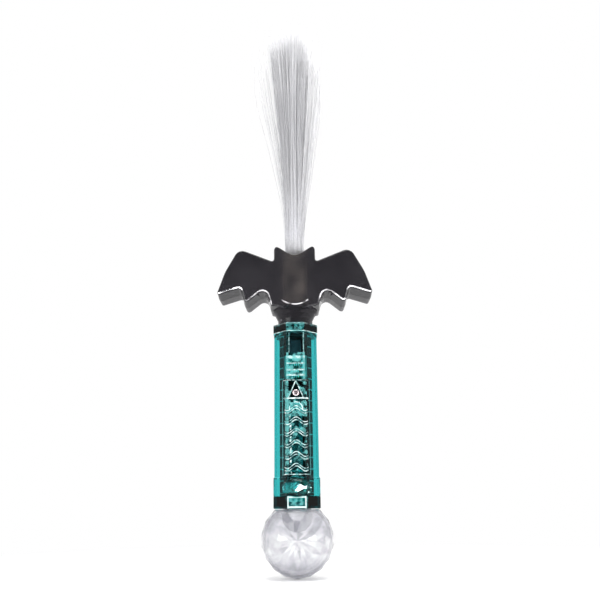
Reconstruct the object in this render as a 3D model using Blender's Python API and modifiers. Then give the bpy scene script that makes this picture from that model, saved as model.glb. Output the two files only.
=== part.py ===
"""Light-up wand: an octagonal handle with a battery bay, a winged head with a
tuft of light fibres, and a faceted ball at the lower end.

Lengths are metres. Every piece hangs from an empty at the middle of the grip, and
its heights are counted from the handle's lower edge. Front is -Y, up is +Z.
"""

import math

import bmesh
import bpy
from mathutils import Vector

# Clearances
SEAT_GAP = 0.0003
CELL_GAP = 0.0004

# Battery cells, one behind the other
CELL_RADIUS = 0.00525
CELL_LENGTH = 0.0445
NUB_RADIUS = 0.0019
NUB_HEIGHT = 0.0010

# Handle section, built outwards from the two cells
WALL = 0.0018
CHASSIS_BACK = 0.0011
DOOR_ROOM = 0.0014
INNER_HALF = 2 * CELL_RADIUS + (CELL_GAP + CHASSIS_BACK + DOOR_ROOM) / 2 + SEAT_GAP
GRIP_HALF = INNER_HALF + WALL
RIM_STEP = 0.00055
RIM_HALF = GRIP_HALF + RIM_STEP
SPIGOT_WALL = 0.0009
SPIGOT_HALF = INNER_HALF + SPIGOT_WALL
CORNER = 1 / math.cos(math.pi / 8)
FACET_HALF = GRIP_HALF * math.tan(math.pi / 8)

# Foot of the handle
FLOOR = 0.0015
FOOT_HEIGHT = 0.0183
BAND_HEIGHT = 0.0074
BAND_GROOVE = 0.0003
FOOT_CHAMFER = 0.0005

# Push button
BUTTON_HEIGHT = 0.0124
BUTTON_HALF_WIDTH = 0.0086
BUTTON_HALF_TALL = 0.0055
BUTTON_RISE = 0.0014
BUTTON_TRAVEL = 0.0008
BUTTON_RELIEF = 0.0010
FLANGE_HALF_TALL = 0.0030
FLANGE_OVERLAP = 0.0010
FLANGE_THICKNESS = 0.0010

# Battery bay and its door
BAY_FLOOR = 0.0170
BAY_WALL = 0.0012
PLATE = 0.0004
SPRING_ROOM = 0.0034
BAY_TOP = BAY_FLOOR + CELL_LENGTH + SPRING_ROOM + 2 * PLATE + 5 * SEAT_GAP
STRIP_OVER_BUTTON = 0.0015
DOOR_BOTTOM = BUTTON_HEIGHT + BUTTON_HALF_TALL + STRIP_OVER_BUTTON + 2 * SEAT_GAP
DOOR_HEAD = 0.0118
DOOR_TOP = BAY_TOP + DOOR_HEAD
DOOR_WRAP = 0.0022
DOOR_HALF = FACET_HALF + DOOR_WRAP
DOOR_SCREW_HEIGHT = BAY_TOP + 0.0036
DOOR_SCREW_SINK = 0.0012
RIDGE_COUNT = 6
RIDGE_PITCH = 0.0071
RIDGE_FIRST = DOOR_BOTTOM + 0.0060
RIDGE_SWING = 0.0015
RIDGE_WAVE = 0.0112
RIDGE_WIDTH = 0.0017
RIDGE_RISE = 0.0005
DOOR_RIB_COUNT = 4
DOOR_RIB_PITCH = 0.0106

# Chassis inside the handle
CRADLE = 0.00175
RAIL = 0.0028
RAIL_INNER = CELL_RADIUS + SEAT_GAP + CRADLE
RAIL_OUTER = RAIL_INNER + RAIL
WEB = 0.0010
WEB_PITCH = 0.0071
WEB_COUNT = 7
WEB_FIRST = BAY_FLOOR + 0.0061
WEB_FRONT = 0.0080
RAIL_NOTCH_DEPTH = 0.0030
WIRE_SLOT = 0.0030
WIRE_GROOVE = 0.0014
WIRE_GROOVE_HALF = 0.0009

# Electronics
BOARD = 0.0012
BOARD_BOTTOM = DOOR_TOP + BAY_WALL + 2 * SEAT_GAP
BOARD_HEIGHT = 0.0162
BOARD_TOP = BOARD_BOTTOM + BOARD_HEIGHT
BOARD_FRONT = -0.0042
RESISTOR_COUNT = 4
RESISTOR_PITCH = 0.0039
RESISTOR_RADIUS = 0.0009
RESISTOR_LENGTH = 0.0052
RESISTOR_SPAN = 0.0118
LEAD_RADIUS = 0.00028
HOLDER_WIDTH = 0.0076
HOLDER_DEPTH = 0.0090
HOLDER_HEIGHT = 0.0136
HOLDER_BOTTOM = BOARD_TOP + SEAT_GAP
HOLDER_TOP = HOLDER_BOTTOM + HOLDER_HEIGHT
LED_RADIUS = 0.0025
LED_FLANGE = 0.0029
SWITCH_SIZE = 0.0060
SWITCH_DEPTH = 0.0032
PLUNGER_RADIUS = 0.00175
PLUNGER_LENGTH = 0.0028
WIRE_RADIUS = 0.0005

# Top of the handle
HOLDER_STAND = 0.0011
CHASSIS_TOP = HOLDER_TOP - HOLDER_STAND
LEDGE = 0.0015
LEDGE_HOLE = 0.0085
LEDGE_TOP = CHASSIS_TOP + SEAT_GAP + LEDGE
NECK_FLANGE = 0.0038
COLLAR_CEILING = LEDGE_TOP + NECK_FLANGE + 2 * SEAT_GAP
COLLAR_ROOF = 0.0013
HANDLE_LENGTH = COLLAR_CEILING + COLLAR_ROOF
SPIGOT_SINK = 0.0006
COLLAR_GROOVE = 0.00025

# Fibres and the tube that holds them
BUNDLE_RADIUS = 0.0066
TUBE_WALL = 0.0011
TUBE_BORE = BUNDLE_RADIUS + SEAT_GAP
TUBE_RADIUS = TUBE_BORE + TUBE_WALL
BUNDLE_LIFT = 0.0011
LATTICE = 8
STRAND_INSET = 0.000075
TUFT_LENGTH = 0.191
TUFT_TIP_RADIUS = 0.0265
TUFT_LEAN = -0.0045
TUFT_WAIST = 0.36
TUFT_WAIST_SHARE = 0.27
TUFT_CROWN = 0.018
TUFT_RAGGED = 0.005

# Neck of the head
NECK_WALL = 0.0020
NECK_BORE = TUBE_RADIUS + SEAT_GAP
NECK_RADIUS = NECK_BORE + NECK_WALL
COLLAR_HOLE = NECK_RADIUS + SEAT_GAP
NECK_SKIRT = NECK_RADIUS + 0.0014
NECK_SEAT = HANDLE_LENGTH + 0.0022
FUNNEL_HALF_WIDTH = 0.0158
FUNNEL_HALF_DEPTH = 0.0126
FUNNEL_HEIGHT = 0.0132

# Head: half of its front outline as x, height over the handle and corner radius
HEAD_HALF = 0.0140
HEAD_WALL = 0.0018
HEAD_FLARE = 0.0005
HEAD_FILLET = 0.0012
EAR_DIP = (0.0000, 0.0453, 0.0090)
EAR_TIP = (0.0139, 0.0546, 0.0016)
WING_ROOT = (0.0139, 0.0428, 0.0015)
WING_PEAK = (0.0380, 0.0527, 0.0055)
WING_SIDE = (0.0471, 0.0360, 0.0300)
WING_TIP = (0.0527, 0.0194, 0.0014)
WING_CUSP = (0.0364, 0.0247, 0.0022)
WING_LOBE = (0.0334, 0.0134, 0.0019)
WING_SCALLOP = (0.0195, 0.0247, 0.0040)
WING_POINT = (0.0160, 0.0120, 0.0012)
HEAD_BASE = (0.0000, 0.0090, 0.0300)
HEAD_SIDE = (
    EAR_DIP,
    EAR_TIP,
    WING_ROOT,
    WING_PEAK,
    WING_SIDE,
    WING_TIP,
    WING_CUSP,
    WING_LOBE,
    WING_SCALLOP,
    WING_POINT,
    HEAD_BASE,
)
BODY_CORNER = (0.0137, 0.0125, 0.0050)
BODY_BASE = (0.0000, 0.0092, 0.0200)
BODY_SIDE = (EAR_DIP, EAR_TIP, BODY_CORNER, BODY_BASE)
BODY_HALF_WIDTH = 0.0133
BODY_RISE = 0.00275
BODY_FILLET = 0.0015
TUBE_TOP = HANDLE_LENGTH + EAR_DIP[1] + EAR_DIP[2] * 0.27 + HEAD_FLARE + SEAT_GAP

# Ball
BALL_RADIUS = 0.0226
BALL_WALL = 0.0022
BALL_SEAT = 0.0138
BALL_SIDES = 18
BALL_RINGS = (14, 31, 49, 70)
BALL_HEIGHT = -SEAT_GAP - math.sqrt(BALL_RADIUS**2 - BALL_SEAT**2)
BALL_NECK = 0.0087
BALL_NECK_WALL = 0.0016
BALL_FLANGE_STEP = 0.0013
BALL_FLANGE = 0.0018
DIFFUSER_RADIUS = 0.0100
DIFFUSER_DROP = 0.0116
DIFFUSER_WALL = 0.0010

# Screws
SCREW_HEAD = 0.0023
SCREW_HEAD_HEIGHT = 0.0009
SCREW_SHANK = 0.0010
SCREW_LENGTH = 0.0080
SCREW_BOSS = 0.0026
SCREW_BORE = SCREW_SHANK + SEAT_GAP
REAR_SCREW_HEIGHTS = (BUTTON_HEIGHT - 0.0009, DOOR_SCREW_HEIGHT + 0.0048)
REAR_SCREW_SEAT = INNER_HALF + 0.0008

BIG = 0.2


# Scene and materials


def clear_scene():
    for item in list(bpy.data.objects):
        bpy.data.objects.remove(item)


def make_collections():
    made = {}
    for name in ("light_up_wand", "cutters"):
        made[name] = bpy.data.collections.new(name)
        bpy.context.scene.collection.children.link(made[name])
    return made["light_up_wand"], made["cutters"]


def material(name, colour, roughness, metallic=0.0, transmission=0.0):
    made = bpy.data.materials.new(name)
    made.use_nodes = True
    shader = made.node_tree.nodes["Principled BSDF"]
    shader.inputs["Base Color"].default_value = (*colour, 1.0)
    shader.inputs["Roughness"].default_value = roughness
    shader.inputs["Metallic"].default_value = metallic
    shader.inputs["Transmission Weight"].default_value = transmission
    return made


def add_object(name, data):
    made = bpy.data.objects.new(name, data)
    PARTS.objects.link(made)
    made.parent = WAND
    return made


def finish(piece, look):
    piece.data.materials.append(look)
    return piece


# Solids


def from_bmesh(name, bm):
    mesh = bpy.data.meshes.new(name)
    bm.to_mesh(mesh)
    bm.free()
    return add_object(name, mesh)


def box(name, low, high):
    bm = bmesh.new()
    bmesh.ops.create_cube(bm, size=1.0)
    low, high = Vector(low), Vector(high)
    bmesh.ops.scale(bm, vec=high - low, verts=bm.verts)
    made = from_bmesh(name, bm)
    made.location = (low + high) / 2
    return made


def rod(name, radius, start, end, sides=12):
    """A cylinder from start to end."""
    start, end = Vector(start), Vector(end)
    bm = bmesh.new()
    bmesh.ops.create_cone(
        bm,
        cap_ends=True,
        segments=sides,
        radius1=radius,
        radius2=radius,
        depth=(end - start).length,
    )
    made = from_bmesh(name, bm)
    made.location = (start + end) / 2
    made.rotation_euler = (end - start).to_track_quat("Z", "Y").to_euler()
    made.data.shade_smooth()
    made.data.set_sharp_from_angle(angle=math.radians(40))
    return made


def turned(name, profile, sides=24, closed=False):
    """A profile of (radius, height) points, outer side downwards, turned about Z."""
    bm = bmesh.new()
    verts = [bm.verts.new((radius, 0, height)) for radius, height in profile]
    pairs = list(zip(verts, verts[1:]))
    if closed:
        pairs.append((verts[-1], verts[0]))
    for pair in pairs:
        bm.edges.new(pair)
    made = from_bmesh(name, bm)
    screw = made.modifiers.new("Turn", "SCREW")
    screw.steps = screw.render_steps = sides
    screw.use_merge_vertices = True
    screw.merge_threshold = 0.00001
    screw.use_smooth_shade = sides > 8
    return made


def octagonal(name, profile):
    """A closed profile of (half width across the flats, height), flats facing X and Y."""
    made = turned(name, [(half * CORNER, height) for half, height in profile], 8, True)
    made.rotation_euler.z = math.pi / 8
    return made


def octagonal_bar(name, half, low, high):
    """A solid eight-sided bar."""
    made = rod(name, half * CORNER, (0, 0, low), (0, 0, high), 8)
    made.rotation_euler.z += math.pi / 8
    made.data.shade_flat()
    return made


def flat(name, outline, thickness):
    """A flat outline in the XY plane, thickness along Z, as a mesh."""
    curve = bpy.data.curves.new(name, "CURVE")
    curve.dimensions = "2D"
    curve.fill_mode = "BOTH"
    curve.extrude = thickness / 2
    spline = curve.splines.new("POLY")
    spline.points.add(len(outline) - 1)
    for point, (x, y) in zip(spline.points, outline):
        point.co = (x, y, 0, 1)
    spline.use_cyclic_u = True
    return curve_to_mesh(name, curve)


def upright(name, outline, front, back):
    """A flat outline of (x, height) points that reaches from front to back in Y."""
    made = flat(name, outline, back - front)
    made.rotation_euler.x = math.pi / 2
    made.location.y = (front + back) / 2
    return made


def curve_to_mesh(name, curve):
    """The curve's mesh with its caps welded, in place of the curve."""
    guide = bpy.data.objects.new(name + "_curve", curve)
    PARTS.objects.link(guide)
    graph = bpy.context.evaluated_depsgraph_get()
    mesh = bpy.data.meshes.new_from_object(guide.evaluated_get(graph))
    bpy.data.objects.remove(guide)
    bm = bmesh.new()
    bm.from_mesh(mesh)
    bmesh.ops.remove_doubles(bm, verts=bm.verts, dist=0.000001)
    bmesh.ops.recalc_face_normals(bm, faces=bm.faces)
    bm.to_mesh(mesh)
    bm.free()
    mesh.name = name
    return add_object(name, mesh)


def tube(name, points, radius, detail, swell=None):
    """A round wire along the points; swell gives each point's share of the radius."""
    curve = bpy.data.curves.new(name, "CURVE")
    curve.dimensions = "3D"
    curve.bevel_depth = radius
    curve.bevel_resolution = detail
    curve.use_fill_caps = True
    spline = curve.splines.new("POLY")
    spline.points.add(len(points) - 1)
    for number, point in enumerate(points):
        spline.points[number].co = (*point, 1)
        if swell:
            spline.points[number].radius = swell[number]
    return curve_to_mesh(name, curve)


def smooth_route(stops, steps=6):
    """Points on a smooth curve that passes through every stop."""
    stops = [Vector(stop) for stop in stops]
    padded = [2 * stops[0] - stops[1], *stops, 2 * stops[-1] - stops[-2]]
    route = []
    for a, b, c, d in zip(padded, padded[1:], padded[2:], padded[3:]):
        for step in range(steps):
            t = step / steps
            route.append(
                b
                + (c - a) * (t / 2)
                + (2 * a - 5 * b + 4 * c - d) * (t * t / 2)
                + (3 * b - a - 3 * c + d) * (t**3 / 2)
            )
    route.append(stops[-1])
    return route


def loft(name, rings):
    """A solid through rings of equal counts of points, capped at both ends."""
    bm = bmesh.new()
    made = [[bm.verts.new(point) for point in ring] for ring in rings]
    for lower, upper in zip(made, made[1:]):
        for a, b, c, d in zip(lower, lower[1:] + lower[:1], upper[1:] + upper[:1], upper):
            bm.faces.new((a, b, c, d))
    bm.faces.new(made[0])
    bm.faces.new(made[-1])
    bmesh.ops.recalc_face_normals(bm, faces=bm.faces)
    return from_bmesh(name, bm)


def rounded(corners, offset=0.0):
    """The outline of corners (x, y, radius), anticlockwise, grown outwards by offset."""
    smallest = 0.00015
    points = []
    count = len(corners)
    for number, (x, y, radius) in enumerate(corners):
        here = Vector((x, y))
        arriving = (here - Vector(corners[number - 1][:2])).normalized()
        leaving = (Vector(corners[(number + 1) % count][:2]) - here).normalized()
        first = Vector((arriving.y, -arriving.x))
        last = Vector((leaving.y, -leaving.x))
        bisector = (first + last) / (1 + first.dot(last))
        outwards = 1 if arriving.x * leaving.y > arriving.y * leaving.x else -1
        bend = max(radius + outwards * offset, smallest)
        centre = here + bisector * (offset - outwards * bend)
        start = math.atan2(first.y, first.x)
        turn = first.angle_signed(last) * -1
        steps = max(2, round(abs(turn) * (2.6 if radius > 0.0035 else 1.7)))
        for step in range(steps + 1):
            angle = start + turn * step / steps
            normal = Vector((math.cos(angle), math.sin(angle)))
            points.append(centre + normal * (outwards * bend))
    return points


def mirrored(side):
    """A half outline from top to bottom made whole and anticlockwise."""
    left = [(-x, height, radius) for x, height, radius in side]
    right = [corner for corner in reversed(side) if corner[0] > 0]
    return left + right


def head_ring(side, offset, depth):
    """One ring of the head: its outline grown by offset, at a depth in Y."""
    ring = []
    for x, height in rounded(mirrored(side), offset):
        ring.append((x, depth, HANDLE_LENGTH + height))
    return ring


# Booleans


def combine(target, operation, tools):
    for tool in tools:
        change = target.modifiers.new(tool.name, "BOOLEAN")
        change.operation = operation
        change.solver = "EXACT"
        change.object = tool
        PARTS.objects.unlink(tool)
        CUTTERS.objects.link(tool)
        tool.hide_render = True
        tool.display_type = "WIRE"


def cut(target, *tools):
    combine(target, "DIFFERENCE", tools)


def join(target, *tools):
    combine(target, "UNION", tools)


def keep(target, *tools):
    combine(target, "INTERSECT", tools)


def cut_rear_half(target):
    cut(target, box("rear_half", (-BIG, -SEAT_GAP / 2, -BIG), (BIG, BIG, 5 * BIG)))


def cut_front_half(target):
    cut(target, box("front_half", (-BIG, -BIG, -BIG), (BIG, SEAT_GAP / 2, 5 * BIG)))


# Handle


def handle_profile():
    seat = LEDGE_TOP - SPIGOT_SINK
    ledge_bottom = LEDGE_TOP - LEDGE
    spigot_top = COLLAR_CEILING - SEAT_GAP
    ball_hole = BALL_NECK + SEAT_GAP
    return [
        (SPIGOT_HALF, spigot_top),
        (SPIGOT_HALF, seat),
        (GRIP_HALF, seat),
        (GRIP_HALF, FOOT_HEIGHT + RIM_STEP),
        (RIM_HALF, FOOT_HEIGHT),
        (RIM_HALF, BAND_HEIGHT + BAND_GROOVE),
        (RIM_HALF - BAND_GROOVE, BAND_HEIGHT),
        (RIM_HALF, BAND_HEIGHT - BAND_GROOVE),
        (RIM_HALF, FOOT_CHAMFER),
        (RIM_HALF - FOOT_CHAMFER, 0),
        (ball_hole, 0),
        (ball_hole, FLOOR),
        (INNER_HALF, FLOOR),
        (INNER_HALF, ledge_bottom),
        (LEDGE_HOLE, ledge_bottom),
        (LEDGE_HOLE, LEDGE_TOP),
        (INNER_HALF, LEDGE_TOP),
        (INNER_HALF, spigot_top),
    ]


def ellipse_bar(name, half_width, half_tall, front, back, height):
    """An oval bar along Y."""
    made = rod(name, 1.0, (0, front, height), (0, back, height), 24)
    made.scale = (half_width, half_tall, 1.0)
    return made


def handle_front():
    shell = octagonal("handle_front", handle_profile())
    cut_rear_half(shell)
    opening = DOOR_HALF + SEAT_GAP
    inner_edge = INNER_HALF * math.sqrt(2) - opening
    cut(
        shell,
        box(
            "door_opening",
            (-opening, -BIG, DOOR_BOTTOM - SEAT_GAP),
            (opening, -inner_edge + 0.001, DOOR_TOP + SEAT_GAP),
        ),
        ellipse_bar(
            "button_hole",
            BUTTON_HALF_WIDTH + SEAT_GAP,
            BUTTON_HALF_TALL + SEAT_GAP,
            -0.03,
            -WEB_FRONT + 0.001,
            BUTTON_HEIGHT,
        ),
    )
    return finish(shell, TEAL)


def handle_rear():
    shell = octagonal("handle_rear", handle_profile())
    cut_front_half(shell)
    for height in REAR_SCREW_HEIGHTS:
        cut(
            shell,
            rod("rear_screw_hole", SCREW_BORE, (0, 0.005, height), (0, 0.03, height)),
            rod(
                "rear_screw_seat",
                SCREW_HEAD + SEAT_GAP,
                (0, REAR_SCREW_SEAT, height),
                (0, 0.03, height),
            ),
        )
    return finish(shell, TEAL)


def top_collar():
    inside = SPIGOT_HALF + SEAT_GAP
    bottom = LEDGE_TOP - SPIGOT_SINK + SEAT_GAP
    groove = bottom + 0.0016
    collar = octagonal(
        "top_collar",
        [
            (RIM_HALF - COLLAR_GROOVE, HANDLE_LENGTH),
            (RIM_HALF, HANDLE_LENGTH - COLLAR_GROOVE),
            (RIM_HALF, groove + COLLAR_GROOVE),
            (RIM_HALF - COLLAR_GROOVE, groove),
            (RIM_HALF, groove - COLLAR_GROOVE),
            (RIM_HALF, bottom),
            (inside, bottom),
            (inside, COLLAR_CEILING),
            (INNER_HALF - 0.0008, COLLAR_CEILING),
            (INNER_HALF - 0.0008, HANDLE_LENGTH),
        ],
    )
    # The roof's round hole is bored out of a plate that closes the ring.
    roof = octagonal_bar("collar_roof", INNER_HALF, COLLAR_CEILING, HANDLE_LENGTH)
    join(collar, roof)
    cut(
        collar,
        rod(
            "collar_hole",
            COLLAR_HOLE,
            (0, 0, COLLAR_CEILING - 0.001),
            (0, 0, HANDLE_LENGTH + 0.001),
            24,
        ),
    )
    return finish(collar, TEAL)


# Battery door


def ridge_outline(height):
    """A wavy band across the door whose crest is in the middle."""
    reach = DOOR_HALF - 0.0008
    steps = 12
    lower, upper = [], []
    for step in range(steps + 1):
        x = -reach + 2 * reach * step / steps
        wave = height - RIDGE_SWING * (1 - math.cos(2 * math.pi * x / RIDGE_WAVE))
        lower.append((x, wave - RIDGE_WIDTH / 2))
        upper.append((x, wave + RIDGE_WIDTH / 2))
    return lower + upper[::-1]


def door_ridge(number):
    height = RIDGE_FIRST + number * RIDGE_PITCH
    front, back = -GRIP_HALF - 0.002, -INNER_HALF * math.sqrt(2) + DOOR_HALF - 0.0004
    ridge = upright("ridge", ridge_outline(height), front, back)
    skin = octagonal(
        "ridge_skin",
        [
            (GRIP_HALF + RIDGE_RISE, DOOR_TOP),
            (GRIP_HALF + RIDGE_RISE, 0),
            (INNER_HALF + WALL / 2, 0),
            (INNER_HALF + WALL / 2, DOOR_TOP),
        ],
    )
    keep(ridge, skin)
    return ridge


def screw_recess():
    """An A-shaped hollow round the door's screw."""
    base = DOOR_SCREW_HEIGHT - 0.0030
    apex = DOOR_TOP - 0.0010
    outline = rounded([(-0.0043, base, 0.0008), (0.0043, base, 0.0008), (0, apex, 0.0008)])
    return upright("screw_recess", outline, -0.03, -GRIP_HALF + DOOR_SCREW_SINK)


def battery_door():
    door = octagonal(
        "battery_door",
        [
            (GRIP_HALF, DOOR_TOP),
            (GRIP_HALF, DOOR_BOTTOM),
            (INNER_HALF, DOOR_BOTTOM),
            (INNER_HALF, DOOR_TOP),
        ],
    )
    keep(door, box("door_width", (-DOOR_HALF, -BIG, -BIG), (DOOR_HALF, -0.005, BIG)))
    cell_front = -INNER_HALF + DOOR_ROOM
    for number in range(DOOR_RIB_COUNT):
        height = DOOR_BOTTOM + 0.0075 + number * DOOR_RIB_PITCH
        join(
            door,
            box(
                "door_rib",
                (-0.0036, -INNER_HALF - WALL / 3, height),
                (0.0036, cell_front - 0.0005, height + 0.0010),
            ),
        )
    for number in range(RIDGE_COUNT):
        join(door, door_ridge(number))
    height = DOOR_SCREW_HEIGHT
    cut(
        door,
        screw_recess(),
        rod("door_screw_hole", SCREW_BORE, (0, -0.03, height), (0, -0.005, height)),
    )
    return finish(door, TEAL)


def screw(name, height, seat, facing):
    """A pan-head screw whose head rests on the seat and faces the given way in Y."""
    top = SCREW_HEAD_HEIGHT
    piece = turned(
        name,
        [
            (0, top),
            (SCREW_HEAD * 0.6, top),
            (SCREW_HEAD * 0.9, top * 0.7),
            (SCREW_HEAD, 0),
            (SCREW_SHANK, 0),
            (SCREW_SHANK, -SCREW_LENGTH + 0.0012),
            (SCREW_SHANK * 0.2, -SCREW_LENGTH),
            (0, -SCREW_LENGTH),
        ],
        12,
    )
    half = 0.00025
    arm = SCREW_HEAD * 0.62
    slot_floor = top * 0.45
    slots = (
        box("cross_slot", (-arm, -half, slot_floor), (arm, half, top * 2)),
        box("cross_slot", (-half, -arm, slot_floor), (half, arm, top * 2)),
    )
    for slot in slots:
        slot.parent = piece
    cut(piece, *slots)
    piece.location = (0, seat + facing * SEAT_GAP, height)
    piece.rotation_euler.x = -facing * math.pi / 2
    return finish(piece, SCREW_STEEL)


# Push button and its switch


def push_button():
    apex = RIM_HALF + BUTTON_RISE
    rim = RIM_HALF * math.sqrt(2) - BUTTON_HALF_WIDTH + 0.0003
    stem_back = WEB_FRONT + BUTTON_TRAVEL + SEAT_GAP
    flange_half = BUTTON_HALF_WIDTH + FLANGE_OVERLAP
    flange_front = INNER_HALF * math.sqrt(2) - flange_half - SEAT_GAP
    dome = apex - rim
    wide = BUTTON_HALF_WIDTH
    profile = [(0, apex)]
    for share in (0.45, 0.72, 0.88, 0.96):
        drop = 1 - (1 - share**3.2) ** (1 / 2.2)
        profile.append((wide * share, apex - dome * drop))
    profile += [(wide, rim), (wide, stem_back), (0, stem_back)]
    button = turned("push_button", profile, 24)
    button.scale.y = BUTTON_HALF_TALL / BUTTON_HALF_WIDTH
    button.rotation_euler.x = math.pi / 2
    button.location.z = BUTTON_HEIGHT
    low, high = BUTTON_HEIGHT - FLANGE_HALF_TALL, BUTTON_HEIGHT + FLANGE_HALF_TALL
    flange_back = flange_front - FLANGE_THICKNESS
    join(
        button,
        box("button_neck", (-0.006, -stem_back - 0.0004, low), (0.006, -flange_back - 0.0002, high)),
        box("button_flange", (-flange_half, -flange_front, low), (flange_half, -flange_back, high)),
    )
    # The stem is shorter above the bay's floor, where it would meet the contact.
    relief = -INNER_HALF + BUTTON_RELIEF
    cut(
        button,
        box("button_relief", (-BIG, relief, BAY_FLOOR - BAY_WALL - SEAT_GAP), (BIG, BIG, BIG)),
    )
    return finish(button, BUTTON_TEAL), -flange_back


def switch_parts(button_back):
    """The plunger, the switch and its board, stacked behind the button."""
    front = button_back + SEAT_GAP
    body_front = front + BUTTON_TRAVEL + 0.0004
    body_back = body_front + SWITCH_DEPTH
    height = BUTTON_HEIGHT
    plunger = rod(
        "switch_plunger", PLUNGER_RADIUS, (0, front, height), (0, front + PLUNGER_LENGTH, height)
    )
    half = SWITCH_SIZE / 2
    switch = box("tact_switch", (-half, body_front, height - half), (half, body_back, height + half))
    pocket_back = front + PLUNGER_LENGTH + BUTTON_TRAVEL + SEAT_GAP
    cut(
        switch,
        rod(
            "plunger_bore",
            PLUNGER_RADIUS + SEAT_GAP,
            (0, body_front - 0.001, height),
            (0, pocket_back, height),
        ),
    )
    board_front = body_back + SEAT_GAP
    board = box(
        "switch_board",
        (-RAIL_INNER + SEAT_GAP, board_front, BAND_HEIGHT + LED_RIM + 2 * SEAT_GAP),
        (RAIL_INNER - SEAT_GAP, board_front + BOARD, BAY_FLOOR - BAY_WALL - SEAT_GAP),
    )
    finish(plunger, DARK)
    finish(switch, DARK)
    finish(board, BOARD_GREEN)
    return board_front + BOARD


# Chassis


def rail_outline(half, chamfer_half, front):
    """A channel's outline in XY: square in front, with the octagon's slopes behind."""
    slope = chamfer_half * math.sqrt(2)
    return [
        (-half, front),
        (half, front),
        (half, slope - half),
        (slope - chamfer_half, chamfer_half),
        (chamfer_half - slope, chamfer_half),
        (-half, slope - half),
    ]


def level_plate(name, outline, low, high):
    made = flat(name, outline, high - low)
    made.location.z = (low + high) / 2
    return made


def chassis(board_back):
    outside = INNER_HALF - SEAT_GAP
    bottom = BAND_HEIGHT + SEAT_GAP
    frame = octagonal_bar("chassis", outside, bottom, CHASSIS_TOP)
    keep(frame, box("chassis_width", (-RAIL_OUTER, -BIG, -BIG), (RAIL_OUTER, BIG, BIG)))
    back = outside - CHASSIS_BACK
    channel = rail_outline(RAIL_INNER, back, -BIG)
    cut(frame, level_plate("channel", channel, -BIG, 2 * BIG))

    floor_low = BAY_FLOOR - BAY_WALL
    shelves = [
        (floor_low, BAY_FLOOR),
        (BAY_TOP, BAY_TOP + BAY_WALL),
        (DOOR_TOP + SEAT_GAP, DOOR_TOP + SEAT_GAP + BAY_WALL),
        (CHASSIS_TOP - 0.0026, CHASSIS_TOP),
    ]
    webs = [WEB_FIRST + number * WEB_PITCH for number in range(WEB_COUNT)]
    shelf = rail_outline(RAIL_INNER + 0.0004, back + 0.0004, -WEB_FRONT)
    for low, high in shelves:
        join(frame, level_plate("shelf", shelf, low, high))
    cell_y = cell_places()
    slot = CELL_RADIUS + 2 * SEAT_GAP
    for low in webs:
        web = level_plate("web", shelf, low, low + WEB)
        cut(
            web,
            box("cell_slot", (-slot, -BIG, -BIG), (slot, cell_y["rear"], BIG)),
            rod("cell_round", slot, (0, cell_y["rear"], -BIG), (0, cell_y["rear"], BIG), 18),
        )
        join(frame, web)

    screw_z = DOOR_SCREW_HEIGHT
    join(
        frame,
        rod("door_boss", SCREW_BOSS, (0, -INNER_HALF + SEAT_GAP, screw_z), (0, back + 0.0004, screw_z)),
    )
    for height in REAR_SCREW_HEIGHTS:
        join(frame, rod("rear_boss", SCREW_BOSS, (0, 0.0040, height), (0, back + 0.0004, height)))
    for side in (-1, 1):
        x = side * 0.0043
        post_front = board_back + SEAT_GAP
        join(
            frame,
            rod("switch_post", 0.0013, (x, post_front, BUTTON_HEIGHT), (x, back + 0.0003, BUTTON_HEIGHT)),
        )

    cut(frame, rod("door_screw_bore", SCREW_BORE, (0, -BIG, screw_z), (0, -0.0040, screw_z)))
    for height in REAR_SCREW_HEIGHTS:
        cut(frame, rod("rear_bore", SCREW_BORE, (0, 0.0048, height), (0, BIG, height)))
    notch = -WEB_FRONT + RAIL_NOTCH_DEPTH
    cut(
        frame,
        box("button_notch", (-BIG, -BIG, 0), (BIG, notch, floor_low)),
        holder_hole(),
    )
    wire_front, wire_back = WIRE_PLACE - WIRE_GROOVE_HALF, WIRE_PLACE + WIRE_GROOVE_HALF
    lower, upper = wire_slots()
    for low in (lower, upper):
        cut(frame, box("wire_slot", (-BIG, wire_front, low), (BIG, wire_back, low + WIRE_SLOT)))
    # Between its slots each wire lies in a groove in the rail's outer side.
    grooved = RAIL_OUTER - WIRE_GROOVE
    cut(
        frame,
        box("wire_groove", (grooved, wire_front, lower + 0.001), (BIG, wire_back, upper + 0.001)),
        box("wire_groove", (-BIG, wire_front, lower + 0.001), (-grooved, wire_back, upper + 0.001)),
    )
    return finish(frame, DARK)


def holder_hole():
    half_width, half_depth = HOLDER_WIDTH / 2 + SEAT_GAP, HOLDER_DEPTH / 2 + SEAT_GAP
    return box(
        "holder_hole",
        (-half_width, -half_depth, CHASSIS_TOP - 0.0030),
        (half_width, half_depth, CHASSIS_TOP + 0.001),
    )


WIRE_PLACE = 0.0030


def wire_slots():
    return (WEB_FIRST - 0.0040, BOARD_TOP - 0.0080)


# Battery


def cell_places():
    rear = INNER_HALF - CHASSIS_BACK - 2 * SEAT_GAP - CELL_RADIUS
    return {"rear": rear, "front": rear - 2 * CELL_RADIUS - CELL_GAP}


def battery_cell(name, y, low, nub_up):
    body = CELL_LENGTH - NUB_HEIGHT
    edge = 0.0004
    cell = turned(
        name,
        [
            (0, CELL_LENGTH),
            (NUB_RADIUS, CELL_LENGTH),
            (NUB_RADIUS, body),
            (CELL_RADIUS - edge, body),
            (CELL_RADIUS, body - edge),
            (CELL_RADIUS, edge),
            (CELL_RADIUS - edge, 0),
            (0, 0),
        ],
        18,
    )
    cell.location = (0, y, low)
    if not nub_up:
        cell.rotation_euler.x = math.pi
        cell.location.z = low + CELL_LENGTH
    return finish(cell, CELL_STEEL)


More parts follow.
